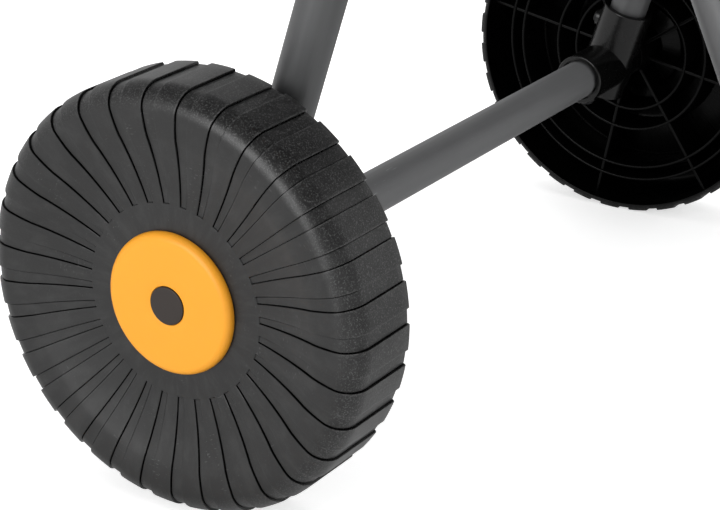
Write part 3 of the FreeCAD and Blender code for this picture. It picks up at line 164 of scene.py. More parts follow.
class Graph:
    """A material's or the world's node tree, written by expressions."""

    def __init__(self, tree: bpy.types.NodeTree) -> None:
        """Starts from an empty tree."""
        self.tree = tree
        tree.nodes.clear()

    def node(self, kind: str, settings: Mapping[str, Any], values: Mapping[str | int, Any]) -> bpy.types.Node:
        """Adds one node.

        Args:
            kind: The node's type.
            settings: Properties of the node, set before its sockets.
            values: Numbers, colours or sockets for the inputs, by name or by index.

        Returns:
            The new node.
        """
        made = self.tree.nodes.new(kind)
        for key, value in settings.items():
            setattr(made, key, value)
        for key, value in values.items():
            if isinstance(value, Sock):
                self.tree.links.new(value.socket, made.inputs[key])
            else:
                made.inputs[key].default_value = value
        return made

    def out(self, kind: str, settings: Mapping[str, Any], values: Mapping[str | int, Any],
            output: str | int = 0) -> Sock:
        """Adds one node and returns one of its outputs."""
        return Sock(self, self.node(kind, settings, values).outputs[output])

    def math(self, operation: str, a: Value, b: Value = 0.0) -> Sock:
        """One Math node."""
        return self.out("ShaderNodeMath", {"operation": operation}, {0: a, 1: b})

    def mix(self, factor: Value, a: Sock | Colour, b: Sock | Colour) -> Sock:
        """Mixes two colours."""
        full = [value if isinstance(value, Sock) else (*value, 1.0) for value in (a, b)]
        values = {0: factor, 6: full[0], 7: full[1]}
        return self.out("ShaderNodeMix", {"data_type": "RGBA"}, values, 2)

    def place(self, centre: Vector | None = None) -> Sock:
        """Object coordinates, measured from a centre."""
        coords = self.out("ShaderNodeTexCoord", {}, {}, "Object")
        if centre is None:
            return coords
        return self.out("ShaderNodeMapping", {}, {"Vector": coords, "Location": tuple(-centre)})

    def vector(self, operation: str, a: Sock, b: Any) -> Sock:
        """One Vector Math node."""
        output = "Value" if operation == "DOT_PRODUCT" else "Vector"
        return self.out("ShaderNodeVectorMath", {"operation": operation}, {0: a, 1: b}, output)

    def along(self, coords: Sock, direction: Vector, squeeze: float) -> Sock:
        """Coordinates squeezed along a direction, so that a pattern is drawn out along it.

        Args:
            coords: The coordinates.
            direction: Direction of length 1.
            squeeze: Share of the way along the direction that is kept.
        """
        share = self.vector("DOT_PRODUCT", coords, tuple(direction)) * (1.0 - squeeze)
        settings = {"operation": "SCALE"}
        line = self.node("ShaderNodeVectorMath", settings, {0: tuple(direction), "Scale": share})
        return self.vector("SUBTRACT", coords, Sock(self, line.outputs["Vector"]))

    def noise(self, coords: Sock, per_metre: float, detail: float = 2.0, rough: float = 0.5) -> Sock:
        """Noise from 0 to 1.

        Args:
            coords: Where the noise is read.
            per_metre: Number of its features in a metre.
            detail: Number of finer layers.
            rough: How strong the finer layers are.
        """
        values = {"Vector": coords, "Scale": per_metre, "Detail": detail, "Roughness": rough}
        return self.out("ShaderNodeTexNoise", {}, values, 0)

    def cells(self, coords: Sock, per_metre: float) -> Sock:
        """Distance from the nearest of scattered points."""
        return self.out("ShaderNodeTexVoronoi", {}, {"Vector": coords, "Scale": per_metre}, "Distance")

    def bump(self, height: Value, depth: float) -> Sock:
        """Bump of a height from 0 to 1 and a depth in metres."""
        return self.out("ShaderNodeBump", {}, {"Height": height, "Distance": depth, "Strength": 1.0})


# ---- finishes ------------------------------------------------------------------------------------
@dataclass(frozen=True)
class Finish:
    """What every finish of the cart has.

    Attributes:
        slot: The record's material slot.
        colour: Main colour, linear.
        rough: Roughness of a clean patch.
    """

    slot: str
    colour: Colour
    rough: float

    def shade(self, graph: Graph) -> dict[str | int, Any]:
        """The values of the finish's surface shader."""
        raise NotImplementedError

    def material(self, name: str = "") -> bpy.types.Material:
        """Builds the finish as a material, named after its slot unless a name is given."""
        material = bpy.data.materials.new(name or self.slot)
        material.use_nodes = True
        material.diffuse_color = (*self.colour, 1.0)
        graph = Graph(material.node_tree)
        values = self.shade(graph)
        graph.node("ShaderNodeOutputMaterial", {}, {"Surface": self.surface(graph, values)})
        return material

    def surface(self, graph: Graph, values: Mapping[str | int, Any]) -> Sock:
        """The shader of the surface, from its values."""
        return graph.out("ShaderNodeBsdfPrincipled", {}, values)


@dataclass(frozen=True)
class Moulded(Finish):
    """Moulded plastic: a faint cloudy tone, fine grain and small pale specks.

    Attributes:
        grain: Depth of the moulded grain, in metres.
        grain_per_metre: How fine the grain is.
        speck: How pale the specks are.
        specular: Level of the shader's reflection.
        cloud: Share by which the tone drifts.
    """

    grain: float = 0.00001
    grain_per_metre: float = 2600.0
    speck: float = 0.05
    specular: float = 0.35
    cloud: float = 0.12

    def shade(self, graph: Graph) -> dict[str | int, Any]:
        """Tone, specks, roughness and grain."""
        coords = graph.place()
        tone = graph.noise(coords, 24.0, 4.0, 0.6)
        dust = graph.noise(coords, 760.0, 2.0, 0.7).over(0.66, 0.78)
        dark = tuple(level * (1.0 - self.cloud) for level in self.colour)
        light = tuple(min(1.0, level * (1.0 + self.cloud)) for level in self.colour)
        speck = tuple(min(1.0, level + self.speck) for level in self.colour)
        body = graph.mix(tone, dark, light)
        grain = graph.noise(coords, self.grain_per_metre, 3.0, 0.6)
        return {
            "Base Color": graph.mix(dust * 0.6, body, speck),
            "Roughness": tone * 0.16 + dust * 0.12 + (self.rough - 0.08),
            "Specular IOR Level": self.specular,
            "Normal": graph.bump(grain, self.grain),
        }


@dataclass(frozen=True)
class WheelPlastic(Moulded):
    """The wheels' plastic: moulded and dusty outside, glossy and nearly black as painted shade in the hollow
    back.

    Short scuffs run round the axle, the grooves' creases are painted near-black as painted shade,
    and the lugs' edges are worn.

    Attributes:
        axle: Middle of the axle, which the scuffs run round.
        scuff: How pale the scuffs are.
        painted_shade_back: Colour of the hollow back, darker than the outside's as painted shade.
        back_rough: Roughness of the hollow back.
    """

    axle: tuple[float, float, float] = (0.0, 0.0, 0.0)
    scuff: float = 0.11
    painted_shade_back: Colour = (0.0012, 0.0012, 0.0012)
    back_rough: float = 0.3

    @staticmethod
    def mark(graph: Graph, name: str) -> Sock:
        """One of the mesh's marks, from 0 to 1."""
        return graph.out("ShaderNodeAttribute", {"attribute_name": name}, {}, "Fac")

    def round_axle(self, graph: Graph, x_scale: float, angle_scale: float, r_scale: float) -> Sock:
        """Coordinates along the axle, round it and away from it, each scaled."""
        parts = graph.node("ShaderNodeSeparateXYZ", {}, {0: graph.place(Vector(self.axle))})
        x, y, z = (Sock(graph, parts.outputs[i]) for i in range(3))
        angle = graph.math("ARCTAN2", y, z)
        radius = graph.math("SQRT", y * y + z * z)
        values = {0: x * x_scale, 1: angle * angle_scale, 2: radius * r_scale}
        return graph.out("ShaderNodeCombineXYZ", {}, values)

    def shade(self, graph: Graph) -> dict[str | int, Any]:
        """The moulded look with scuffs, wear and painted shade in the grooves' creases."""
        values = super().shade(graph)
        coords = graph.place()
        crease, edge, tread = (self.mark(graph, name) for name in ("crease", "edge", "tread"))
        flecks = graph.noise(self.round_axle(graph, 900.0, 30.0, 1500.0), 1.0, 1.0)
        streaks = graph.noise(self.round_axle(graph, 120.0, 90.0, 40.0), 1.0)
        patches = graph.noise(coords, 60.0, 2.0, 0.6).over(0.5, 0.72)
        clouds = graph.noise(self.round_axle(graph, 40.0, 9.0, 70.0), 1.0, 5.0, 0.65).over(0.42, 0.72)
        grit = graph.noise(coords, 1300.0, 3.0, 0.8).over(0.5, 0.68) * (tread * 0.95 + 0.05)
        burr = graph.noise(coords, 1100.0, 2.0, 0.7).over(0.44, 0.6) * edge * tread
        scuffs = graph.math("MAXIMUM", flecks.over(0.64, 0.74) * patches * 0.5, burr * 0.8)
        marked = graph.math("MAXIMUM", scuffs, grit * 0.8)
        dusty = tuple(level + 0.018 for level in self.colour)
        pale = tuple(level + self.scuff for level in self.colour)
        colour = graph.mix(marked, graph.mix(clouds * 0.6, values["Base Color"], dusty), pale)
        # painted shade: near-black colour in the grooves' creases and slits, where the mesh's crease mark is
        # set
        values["Base Color"] = graph.mix(crease, colour, (0.0005, 0.0005, 0.0005))
        values["Roughness"] = values["Roughness"] + (streaks - 0.5) * 0.14 + marked * 0.1 - crease * 0.15
        return values

    def surface(self, graph: Graph, values: Mapping[str | int, Any]) -> Sock:
        """The outside's shader, and where the mesh is marked as hollow, the back's with painted shade in its
        colour.
        """
        outside = super().surface(graph, values)
        streaks = graph.noise(self.round_axle(graph, 120.0, 60.0, 60.0), 1.0)
        # painted shade: the hollow back's colour is kept near-black, darker than the outside, for the shade
        # inside the wheel
        sunk = {"Base Color": graph.mix(streaks, tuple(level * 0.6 for level in self.painted_shade_back), self.painted_shade_back),
                "Roughness": streaks * 0.2 + (self.back_rough - 0.1), "Specular IOR Level": 0.12}
        back = graph.out("ShaderNodeBsdfPrincipled", {}, sunk)
        hollow = self.mark(graph, "hollow")
        return graph.out("ShaderNodeMixShader", {}, {0: hollow, 1: outside, 2: back})


@dataclass(frozen=True)
class Smooth(Finish):
    """Smooth satin plastic with a hardly visible skin.

    Attributes:
        specular: Level of the shader's reflection.
        drift: Share by which the tone drifts.
    """

    specular: float = 0.4
    drift: float = 0.03

    def shade(self, graph: Graph) -> dict[str | int, Any]:
        """Tone, roughness and skin."""
        coords = graph.place()
        tone = graph.noise(coords, 40.0, 3.0, 0.5)
        skin = graph.noise(coords, 900.0, 2.0, 0.5)
        dark = tuple(level * (1.0 - self.drift) for level in self.colour)
        light = tuple(min(1.0, level * (1.0 + self.drift)) for level in self.colour)
        return {
            "Base Color": graph.mix(tone, dark, light),
            "Roughness": skin * 0.08 + tone * 0.06 + (self.rough - 0.07),
            "Specular IOR Level": self.specular,
            "Normal": graph.bump(skin, 0.000006),
        }


@dataclass(frozen=True)
class Painted(Finish):
    """Satin grey paint on steel tube: scratches, and streaks of tone and painted reflection, drawn out along
    it.

    Attributes:
        along: Direction of the tube.
        metallic: How metallic the paint is.
        streak_and_sheen: Share by which the streaks, partly painted reflection, change the tone.
    """

    along: tuple[float, float, float] = (1.0, 0.0, 0.0)
    metallic: float = 0.35
    streak_and_sheen: float = 0.26

    def shade(self, graph: Graph) -> dict[str | int, Any]:
        """Streaks, scratches, specks and orange peel."""
        coords = graph.place()
        drawn = graph.along(coords, Vector(self.along).normalized(), 0.02)
        streaks = graph.noise(drawn, 380.0, 3.0, 0.6)
        tone = graph.noise(coords, 30.0, 3.0, 0.6)
        marks = graph.along(coords, Vector(self.along).normalized(), 0.12)
        scratch = graph.noise(marks, 900.0, 1.0, 0.5).over(0.7, 0.76) * tone.over(0.5, 0.6)
        speck = graph.cells(coords, 420.0)
        chips = 1.0 - speck.over(0.05, 0.11)
        peel = graph.noise(coords, 1300.0, 2.0, 0.5)
        dark = tuple(level * (1.0 - self.streak_and_sheen) for level in self.colour)
        light = tuple(level * (1.0 + self.streak_and_sheen) for level in self.colour)
        pale = tuple(level * 1.9 for level in self.colour)
        # painted reflection in part: the lengthwise streaks lighten and darken the paint like the satin's
        # streaky reflections
        body = graph.mix(streaks * 0.6 + tone * 0.4, dark, light)
        return {
            "Base Color": graph.mix(scratch * 0.6 + chips * 0.25, body, pale),
            "Roughness": streaks * 0.2 + tone * 0.1 + (self.rough - 0.15),
            "Metallic": self.metallic,
            "Normal": graph.bump(peel, 0.000012),
        }


@dataclass(frozen=True)
class Steel(Finish):
    """Zinc-plated steel with fine turning lines round its axis.

    Attributes:
        along: Direction of the part's axis.
    """

    along: tuple[float, float, float] = (1.0, 0.0, 0.0)

    def shade(self, graph: Graph) -> dict[str | int, Any]:
        """Plating tone, fine lines and dulled patches."""
        coords = graph.place()
        tone = graph.noise(coords, 160.0, 3.0, 0.6)
        lines = graph.noise(graph.along(coords, Vector(self.along).normalized(), 6.0), 700.0, 2.0, 0.6)
        dark = tuple(level * 0.8 for level in self.colour)
        return {
            "Base Color": graph.mix(tone, dark, self.colour),
            "Roughness": tone * 0.2 + lines * 0.16 + (self.rough - 0.18),
            "Metallic": 1.0,
            "Normal": graph.bump(lines, 0.000008),
        }


@dataclass(frozen=True)
class Rubber(Finish):
    """Matt rubber or closed-cell foam, with small open cells.

    Attributes:
        cell_per_metre: How fine the cells are.
        depth: How deep they are, in metres.
    """

    cell_per_metre: float = 1500.0
    depth: float = 0.00004

    def shade(self, graph: Graph) -> dict[str | int, Any]:
        """Cells, tone and bloom."""
        coords = graph.place()
        cell = graph.cells(coords, self.cell_per_metre)
        tone = graph.noise(coords, 60.0, 4.0, 0.6)
        dark = tuple(level * 0.7 for level in self.colour)
        light = tuple(level * 1.5 for level in self.colour)
        return {
            "Base Color": graph.mix(tone * 0.6 + cell.over(0.0, 0.6) * 0.4, dark, light),
            "Roughness": tone * 0.12 + (self.rough - 0.06),
            "Specular IOR Level": 0.3,
            "Normal": graph.bump(cell, self.depth),
        }


@dataclass(frozen=True)
class Finishes:
    """Every finish of the cart."""

    wheel: WheelPlastic
    orange: Smooth = Smooth("orange_plastic", (0.94, 0.385, 0.022), 0.42)
    plug: Smooth = Smooth("plug_plastic", (0.024, 0.017, 0.014), 0.45)
    steel: Steel = Steel("bright_steel", (0.62, 0.62, 0.63), 0.34)
    screw: Steel = Steel("screw_steel", (0.03, 0.03, 0.031), 0.4, (0.0, 0.0, 1.0))
    paint: Painted = Painted("tube_paint", (0.10, 0.101, 0.103), 0.42)
    fitting: Moulded = Moulded("fitting_plastic", (0.002, 0.002, 0.002), 0.26, 0.000012, 1400.0, 0.01, 0.4)
    soft: Rubber = Rubber("soft_rubber", (0.022, 0.022, 0.023), 0.82)
    seal: Rubber = Rubber("seal_rubber", (0.015, 0.015, 0.015), 0.6, 3000.0, 0.00001)
    bearing: Smooth = Smooth("bearing_plastic", (0.6, 0.59, 0.54), 0.38)
    reel: Moulded = Moulded("reel_plastic", (0.040, 0.041, 0.043), 0.46)
    shaft: Moulded = Moulded("shaft_plastic", (0.038, 0.038, 0.04), 0.4)
    spigot: Smooth = Smooth("spigot_plastic", (0.94, 0.385, 0.022), 0.4)
    crank: Moulded = Moulded("crank_plastic", (0.026, 0.026, 0.028), 0.4)


# ---- mesh helpers --------------------------------------------------------------------------------
def arc_through(a: Point, b: Point, c: Point, steps: int) -> list[Point]:
    """Points on the circle from a through b to c, both ends included."""
    ax, ay, bx, by, cx, cy = *a, *b, *c
    twice = 2 * (ax * (by - cy) + bx * (cy - ay) + cx * (ay - by))
    sums = [x * x + y * y for x, y in (a, b, c)]
    ux = (sums[0] * (by - cy) + sums[1] * (cy - ay) + sums[2] * (ay - by)) / twice
    uy = (sums[0] * (cx - bx) + sums[1] * (ax - cx) + sums[2] * (bx - ax)) / twice
    radius = math.hypot(ax - ux, ay - uy)
    angles = [math.atan2(y - uy, x - ux) for x, y in (a, b, c)]
    sweep = (angles[2] - angles[0]) % FULL_TURN
    if (angles[1] - angles[0]) % FULL_TURN > sweep:
        sweep -= FULL_TURN
    turns = [angles[0] + sweep * i / steps for i in range(steps + 1)]
    return [(ux + radius * math.cos(turn), uy + radius * math.sin(turn)) for turn in turns]


def new_object(name: str, mesh: bpy.types.Mesh) -> bpy.types.Object:
    """Links a mesh as an object of the scene."""
    made = bpy.data.objects.new(name, mesh)
    bpy.context.scene.collection.objects.link(made)
    return made


def mesh_of(name: str, points: Iterable[Any], faces: Iterable[Sequence[int]]) -> bpy.types.Mesh:
    """Mesh from points and faces, unmerged."""
    mesh = bpy.data.meshes.new(name)
    mesh.from_pydata([tuple(p) for p in points], [], [tuple(f) for f in faces])
    return mesh


def tidy(mesh: bpy.types.Mesh, weld: float = WELD, sharp: float = PLAIN_SHARP) -> bpy.types.Mesh:
    """Merges doubles, turns the faces outward and shades the mesh smooth, but for its sharp edges."""
    work = bmesh.new()
    work.from_mesh(mesh)
    bmesh.ops.remove_doubles(work, verts=work.verts, dist=weld)
    bmesh.ops.dissolve_degenerate(work, edges=work.edges, dist=weld)
    bmesh.ops.recalc_face_normals(work, faces=work.faces)
    work.to_mesh(mesh)
    work.free()
    mesh.shade_smooth()
    mesh.set_sharp_from_angle(angle=math.radians(sharp))
    return mesh


def lathe(name: str, profile: Sequence[Point], steps: int, loop: bool) -> bpy.types.Mesh:
    """Turns a profile about the X axis.

    Args:
        name: Name of the mesh.
        profile: (place along X, radius) points, in metres.
        steps: Number of faces round the axis.
        loop: Whether the profile's last point joins its first.

    Returns:
        The mesh, closed where the profile is a loop or starts and ends on the axis.
    """
    count = len(profile)
    points = []
    for i in range(steps):
        turn = FULL_TURN * i / steps
        points += [(x, r * math.sin(turn), r * math.cos(turn)) for x, r in profile]
    faces = []
    spans = count if loop else count - 1
    for i in range(steps):
        here, there = i * count, (i + 1) % steps * count
        for j in range(spans):
            k = (j + 1) % count
            faces.append((here + j, here + k, there + k, there + j))
    return tidy(mesh_of(name, points, faces))


def put(mesh: bpy.types.Mesh, place: Vector, x_dir: Vector) -> bpy.types.Mesh:
    """Moves a mesh built about the X axis to its place, its axis turned to a direction."""
    turn = Vector((1, 0, 0)).rotation_difference(x_dir).to_matrix().to_4x4()
    mesh.transform(Matrix.Translation(place) @ turn)
    return mesh


# ---- geometry nodes ------------------------------------------------------------------------------
class ShapeTree:
    """A Geometry Nodes tree with named inputs."""

    def __init__(self, name: str, inputs: Mapping[str, str]) -> None:
        """Makes the tree with a geometry input, the named inputs and a geometry output."""
        self.tree = bpy.data.node_groups.new(name, "GeometryNodeTree")
        face = self.tree.interface
        face.new_socket("Geometry", in_out="INPUT", socket_type="NodeSocketGeometry")
        for label, kind in inputs.items():
            face.new_socket(label, in_out="INPUT", socket_type="NodeSocket" + kind)
        face.new_socket("Geometry", in_out="OUTPUT", socket_type="NodeSocketGeometry")
        self.source = self.tree.nodes.new("NodeGroupInput")
        self.result = self.tree.nodes.new("NodeGroupOutput")

    def add(self, kind: str, settings: Mapping[str, Any], values: Mapping[str | int, Any]) -> bpy.types.Node:
        """Adds one node, its settings first and then its values or links."""
        made = self.tree.nodes.new(kind)
        for key, value in settings.items():
            setattr(made, key, value)
        for key, value in values.items():
            if isinstance(value, bpy.types.NodeSocket):
                self.tree.links.new(value, made.inputs[key])
            else:
                made.inputs[key].default_value = value
        return made

    def given(self, label: str) -> bpy.types.NodeSocket:
        """The socket of one of the tree's named inputs."""
        return self.source.outputs[label]

    def end(self, geometry: bpy.types.NodeSocket) -> None:
        """Realizes, welds and dresses the geometry, and gives it out."""
        real = self.add("GeometryNodeRealizeInstances", {}, {0: geometry})
        weld = self.add("GeometryNodeMergeByDistance", {},
                        {0: real.outputs[0], "Distance": self.given("Weld")})
        dress = self.add("GeometryNodeSetMaterial", {},
                         {0: weld.outputs[0], "Material": self.given("Finish")})
        self.tree.links.new(dress.outputs[0], self.result.inputs[0])

    def apply(self, piece: bpy.types.Object, values: Mapping[str, Any]) -> None:
        """Runs the tree on a piece and keeps the result as its plain mesh."""
        modifier = piece.modifiers.new("shape", "NODES")
        modifier.node_group = self.tree
        for item in self.tree.interface.items_tree:
            if item.in_out == "INPUT" and item.name in values:
                modifier[item.identifier] = values[item.name]
        graph = bpy.context.evaluated_depsgraph_get()
        mesh = bpy.data.meshes.new_from_object(piece.evaluated_get(graph))
        piece.modifiers.clear()
        piece.data = mesh


class RingArray(ShapeTree):
    """Repeats a piece round an axis along X."""

    def __init__(self) -> None:
        """Builds the tree."""
        kinds = {"Count": "Int", "Centre": "Vector", "Start": "Float", "Weld": "Float", "Finish": "Material"}
        super().__init__("ring_array", kinds)
        back = self.add("ShaderNodeVectorMath", {"operation": "SCALE"},
                        {0: self.given("Centre"), "Scale": -1.0})
        moved = self.add("GeometryNodeTransform", {},
                         {0: self.given("Geometry"), "Translation": back.outputs[0]})
        spots = self.add("GeometryNodeMeshLine", {"mode": "OFFSET"},
                         {"Count": self.given("Count"), "Start Location": self.given("Centre"),
                          "Offset": (0.0, 0.0, 0.0)})
        index = self.add("GeometryNodeInputIndex", {}, {})
        step = self.add("ShaderNodeMath", {"operation": "DIVIDE"}, {0: FULL_TURN, 1: self.given("Count")})
        turn = self.add("ShaderNodeMath", {"operation": "MULTIPLY_ADD"},
                        {0: index.outputs[0], 1: step.outputs[0], 2: self.given("Start")})
        euler = self.add("ShaderNodeCombineXYZ", {}, {0: turn.outputs[0]})
        spin = self.add("FunctionNodeEulerToRotation", {}, {0: euler.outputs[0]})
        copies = self.add("GeometryNodeInstanceOnPoints", {},
                          {"Points": spots.outputs[0], "Instance": moved.outputs[0],
                           "Rotation": spin.outputs[0]})
        self.end(copies.outputs[0])


@dataclass
class Workshop:
    """What every sub-assembly needs to make its pieces.

    Attributes:
        places: Places of the cart's axes.
        finishes: The cart's finishes.
        ring: The tree that repeats a piece round an axis.
        made: Materials already built, by name.
    """

    places: Places
    finishes: Finishes
    ring: RingArray = field(default_factory=RingArray)
    made: dict[str, bpy.types.Material] = field(default_factory=dict)

    def material(self, finish: Finish, name: str = "") -> bpy.types.Material:
        """The material of a finish, built once."""
        key = name or finish.slot
        if key not in self.made:
            self.made[key] = finish.material(key)
        return self.made[key]

    def finish_piece(self, piece: bpy.types.Object, body: str, finish: Finish, node: str) -> None:
        """Dresses a piece, sets it on its body and lets it stand for a CAD node.

        Args:
            piece: The finished mesh object.
            body: CAD body that it rides on.
            finish: Its finish.
            node: CAD node that it stands for.
        """
        piece.data.materials.clear()
        piece.data.materials.append(self.material(finish))
        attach(piece, body)
        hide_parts(node)
        LOG.info("%s: %d faces on %s", piece.name, len(piece.data.polygons), body)

    def dress_node(self, name: str, finish: Finish, material: str = "") -> None:
        """Gives a CAD node its finish.

        Args:
            name: The node.
            finish: Its finish.
            material: Name of its material where that isn't the slot's.
        """
        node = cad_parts[name]
        node.data.materials.clear()
        node.data.materials.append(self.material(finish, material))
        LOG.info("%s: CAD node, %s", name, finish.slot)


# ---- wheels --------------------------------------------------------------------------------------
@dataclass
class Wheel:
    """Grooved wheel with a ribbed hollow back. Lengths are in millimetres, angles in degrees.

    Places run outboard from the plane of the legs, and radii from the axle.

    Attributes:
        shop: Workshop that finishes the wheel.
        side: Side of the cart.
        rim_r: Radius of the tread.
        tread_edge: Place of the tread's inboard edge.
        shoulder_reach: How far the shoulder's bend reaches along the axle.
        tread_taper: How much less the radius is at the tread's outboard end.
        dish_r: Radius where the dished face and its grooves start.
        dish: Place of the flat ring round the recess.
        dish_line: Two points of the dished face, place and radius, the second at its rim.
        crest_line: Two points of the brow, the second on its crest.
        recess_r: Radius of the recess behind the cap.
        recess: Place of the recess's floor.
        hub_r: Radius of the hub.
        hub_back: Place of the hub's inboard end.
        bore_r: Radius of the hub's bore.
        wall: Wall at the dish.
        tread_wall: Wall at the tread.
        groove_count: Number of grooves.
        groove_start: Angle from the top to a groove's first wall.
        groove_angle: Angle that one groove covers.
        groove_depths: Depths of the grooves at the dish, the crest and the tread.
        slit: How much deeper the slit at each wall's foot is.
        ring_ribs: Radii of the ring ribs.
        rib_half: Half of a rib's wall.
        rib_round: How far a spoke rib's back edges are rounded.
        rib_back: Place that the ribs reach inboard.
        spoke_count: Number of spoke ribs.
        spoke_start: Angle from the top to a spoke rib.
        edge_round: How far the small edges are rounded.
        tread_fade: Band past the crest over which the tread's look begins.
        dish_steps: Rows along the dish.
        brow_steps: Rows along the brow.
        shoulder_steps: Rows round the shoulder.
        tread_steps: Rows across the tread.
    """

    shop: Workshop
    side: Side
    rim_r: float = 101.3
    tread_edge: float = 22.4
    shoulder_reach: float = 12.5
    tread_taper: float = 0.2
    dish_r: float = 46.1
    dish: float = 57.0
    dish_line: tuple[Point, Point] = ((60.0, 64.5), (63.9, 78.5))
    crest_line: tuple[Point, Point] = ((64.95, 84.5), (65.4, 90.5))
    recess_r: float = 23.0
    recess: float = 52.0
    hub_r: float = 13.0
    hub_back: float = 20.0
    bore_r: float = 5.05
    wall: float = 3.2
    tread_wall: float = 4.0
    groove_count: int = 32
    groove_start: float = 0.4
    groove_angle: float = 4.2
    groove_depths: tuple[float, float, float] = (0.6, 0.9, 1.2)
    slit: float = 0.5
    ring_ribs: tuple[float, ...] = (83.0, 75.0, 50.0, 37.0)
    rib_half: float = 1.0
    rib_round: float = 0.45
    rib_back: float = 30.0
    spoke_count: int = 8
    spoke_start: float = 11.0
    edge_round: float = 0.4
    tread_fade: float = 7.0
    dish_steps: int = 16
    brow_steps: int = 8
    shoulder_steps: int = 18
    tread_steps: int = 5

    def skin(self) -> list[tuple[Point, float]]:
        """The outer line from the dish to the tread's edge, each point with its groove's depth."""
        r = self.rim_r
        face, crown, tread = self.groove_depths
        bend, rim = self.dish_line
        brow, crest = self.crest_line
        dish = arc_through((self.dish, self.dish_r), bend, rim, self.dish_steps)
        long_r, short_r = self.shoulder_reach, r - self.tread_taper - crest[1]
        rows = [(p, face + (crown - face) * i / self.dish_steps) for i, p in enumerate(dish)]
        rows += [(p, crown) for p in arc_through(rim, brow, crest, self.brow_steps)[1:]]
        for i in range(1, self.shoulder_steps + 1):
            turn = math.pi / 2 * i / self.shoulder_steps
            point = (crest[0] - long_r * (1 - math.cos(turn)), crest[1] + short_r * math.sin(turn))
            rows.append((point, crown + (tread - crown) * i / self.shoulder_steps))
        last = rows[-1][0]
        for i in range(1, self.tread_steps + 1):
            t = i / self.tread_steps
            rows.append(((last[0] + (self.tread_edge - last[0]) * t, last[1] + (r - last[1]) * t), tread))
        return rows

    @staticmethod
    def sunk(line: Sequence[Point], depths: Sequence[float]) -> list[Point]:
        """A line moved toward the inside of the wheel, square to itself, by a depth at each point."""
        made = []
        for i, (point, depth) in enumerate(zip(line, depths)):
            before, after = line[max(i - 1, 0)], line[min(i + 1, len(line) - 1)]
            dx, dr = after[0] - before[0], after[1] - before[1]
            length = math.hypot(dx, dr)
            made.append((point[0] - depth * dr / length, point[1] + depth * dx / length))
        return made

    def outer_rows(self) -> list[tuple[Point, Point, float]]:
        """Rows of the outer skin: the place on a lug, the place in a groove, and the share of tread."""
        skin = self.skin()
        line = [p for p, _ in skin]
        floor = self.sunk(line, [d for _, d in skin])
        soft = self.edge_round
        plain = [(self.recess, self.bore_r + soft), (self.recess, self.recess_r - soft),
                 (self.recess + soft, self.recess_r), (self.dish - soft, self.recess_r),
                 (self.dish, self.recess_r + soft), (self.dish, 30.0), (self.dish, 38.0),
                 (self.dish, self.dish_r - 0.5), (self.dish, self.dish_r - 0.12)]
        rows = [(p, p, 0.0) for p in plain]
        for reach, share in ((0.0, 0.12), (0.25, 0.9), (0.6, 1.0)):
            t = reach / (line[1][1] - line[0][1])
            top = tuple(a + (b - a) * t for a, b in zip(line[0], line[1]))
            low = tuple(a + (b - a) * t for a, b in zip(floor[0], floor[1]))
            rows.append((top, tuple(a + (b - a) * share for a, b in zip(top, low)), 0.0))
        crest_r = self.crest_line[1][1]
        for top, low in zip(line[1:-1], floor[1:-1]):
            rows.append((top, low, min(1.0, max(0.0, (top[1] - crest_r) / self.tread_fade))))
        sink = self.groove_depths[2]
        for x, drop in ((0.7, 0.0), (0.25, 0.12), (0.0, 0.6)):
            place = self.tread_edge + x
            rows.append(((place, self.rim_r - drop), (place, self.rim_r - sink - drop), 1.0))
        return rows

    def inner_line(self, thin: float) -> list[Point]:
        """The inner face of the walls, from the tread's edge to the dish, walls thinner by thin."""
        skin = self.skin()
        count = len(skin)
        walls = [self.wall + (self.tread_wall - self.wall) * i / count - thin for i in range(count)]
        return list(reversed(self.sunk([p for p, _ in skin], walls)))

    def inner_rows(self) -> list[Point]:
        """Rows of the hollow back, from the tread's edge in to the hub's bore."""
        edge_r = self.rim_r - self.tread_wall
        rows = [(self.tread_edge, edge_r + 0.4), (self.tread_edge + 0.15, edge_r + 0.1),
                (self.tread_edge + 0.6, edge_r - 0.02)]
        line = self.inner_line(0.0)[1:]
        face = line + [(line[-1][0], self.recess_r + self.wall + 0.6)]

        def front_at(radius: float) -> float:
            """Place of the inner face at a radius."""
            for (xa, ra), (xb, rb) in zip(face, face[1:]):
                if rb <= radius <= ra:
                    return xa + (xb - xa) * (ra - radius) / max(ra - rb, 1e-9)
            return face[-1][0]

        ribs = []
        h = self.rib_half
        for r in self.ring_ribs:
            ribs += [(front_at(r + h + 0.9), r + h + 0.9), (front_at(r + h) - 0.9, r + h),
                     (self.rib_back + 0.5, r + h * 0.9), (self.rib_back, r + h * 0.45),
                     (self.rib_back, r - h * 0.45), (self.rib_back + 0.5, r - h * 0.9),
                     (front_at(r - h) - 0.9, r - h), (front_at(r - h - 0.9), r - h - 0.9)]
        outside = [p for p in face if p[1] > self.ring_ribs[0] + h + 1.0]
        inside = [p for p in face if p[1] < self.ring_ribs[0]
                  and all(abs(p[1] - r) > h + 1.0 for r in self.ring_ribs)]
        rows += outside + sorted(inside + ribs, key=lambda p: -p[1])
        sleeve = self.recess - self.wall
        wall_r = self.recess_r + self.wall
        rows += [(face[-1][0] - 0.5, wall_r), (sleeve + 0.5, wall_r), (sleeve, wall_r - 0.5),
                 (sleeve, self.hub_r + 1.2), (sleeve - 1.2, self.hub_r), (self.hub_back + 0.6, self.hub_r),
                 (self.hub_back, self.hub_r - 0.6), (self.hub_back, self.bore_r + 0.5),
                 (self.hub_back + 0.5, self.bore_r), (self.recess - 0.4, self.bore_r)]
        return rows

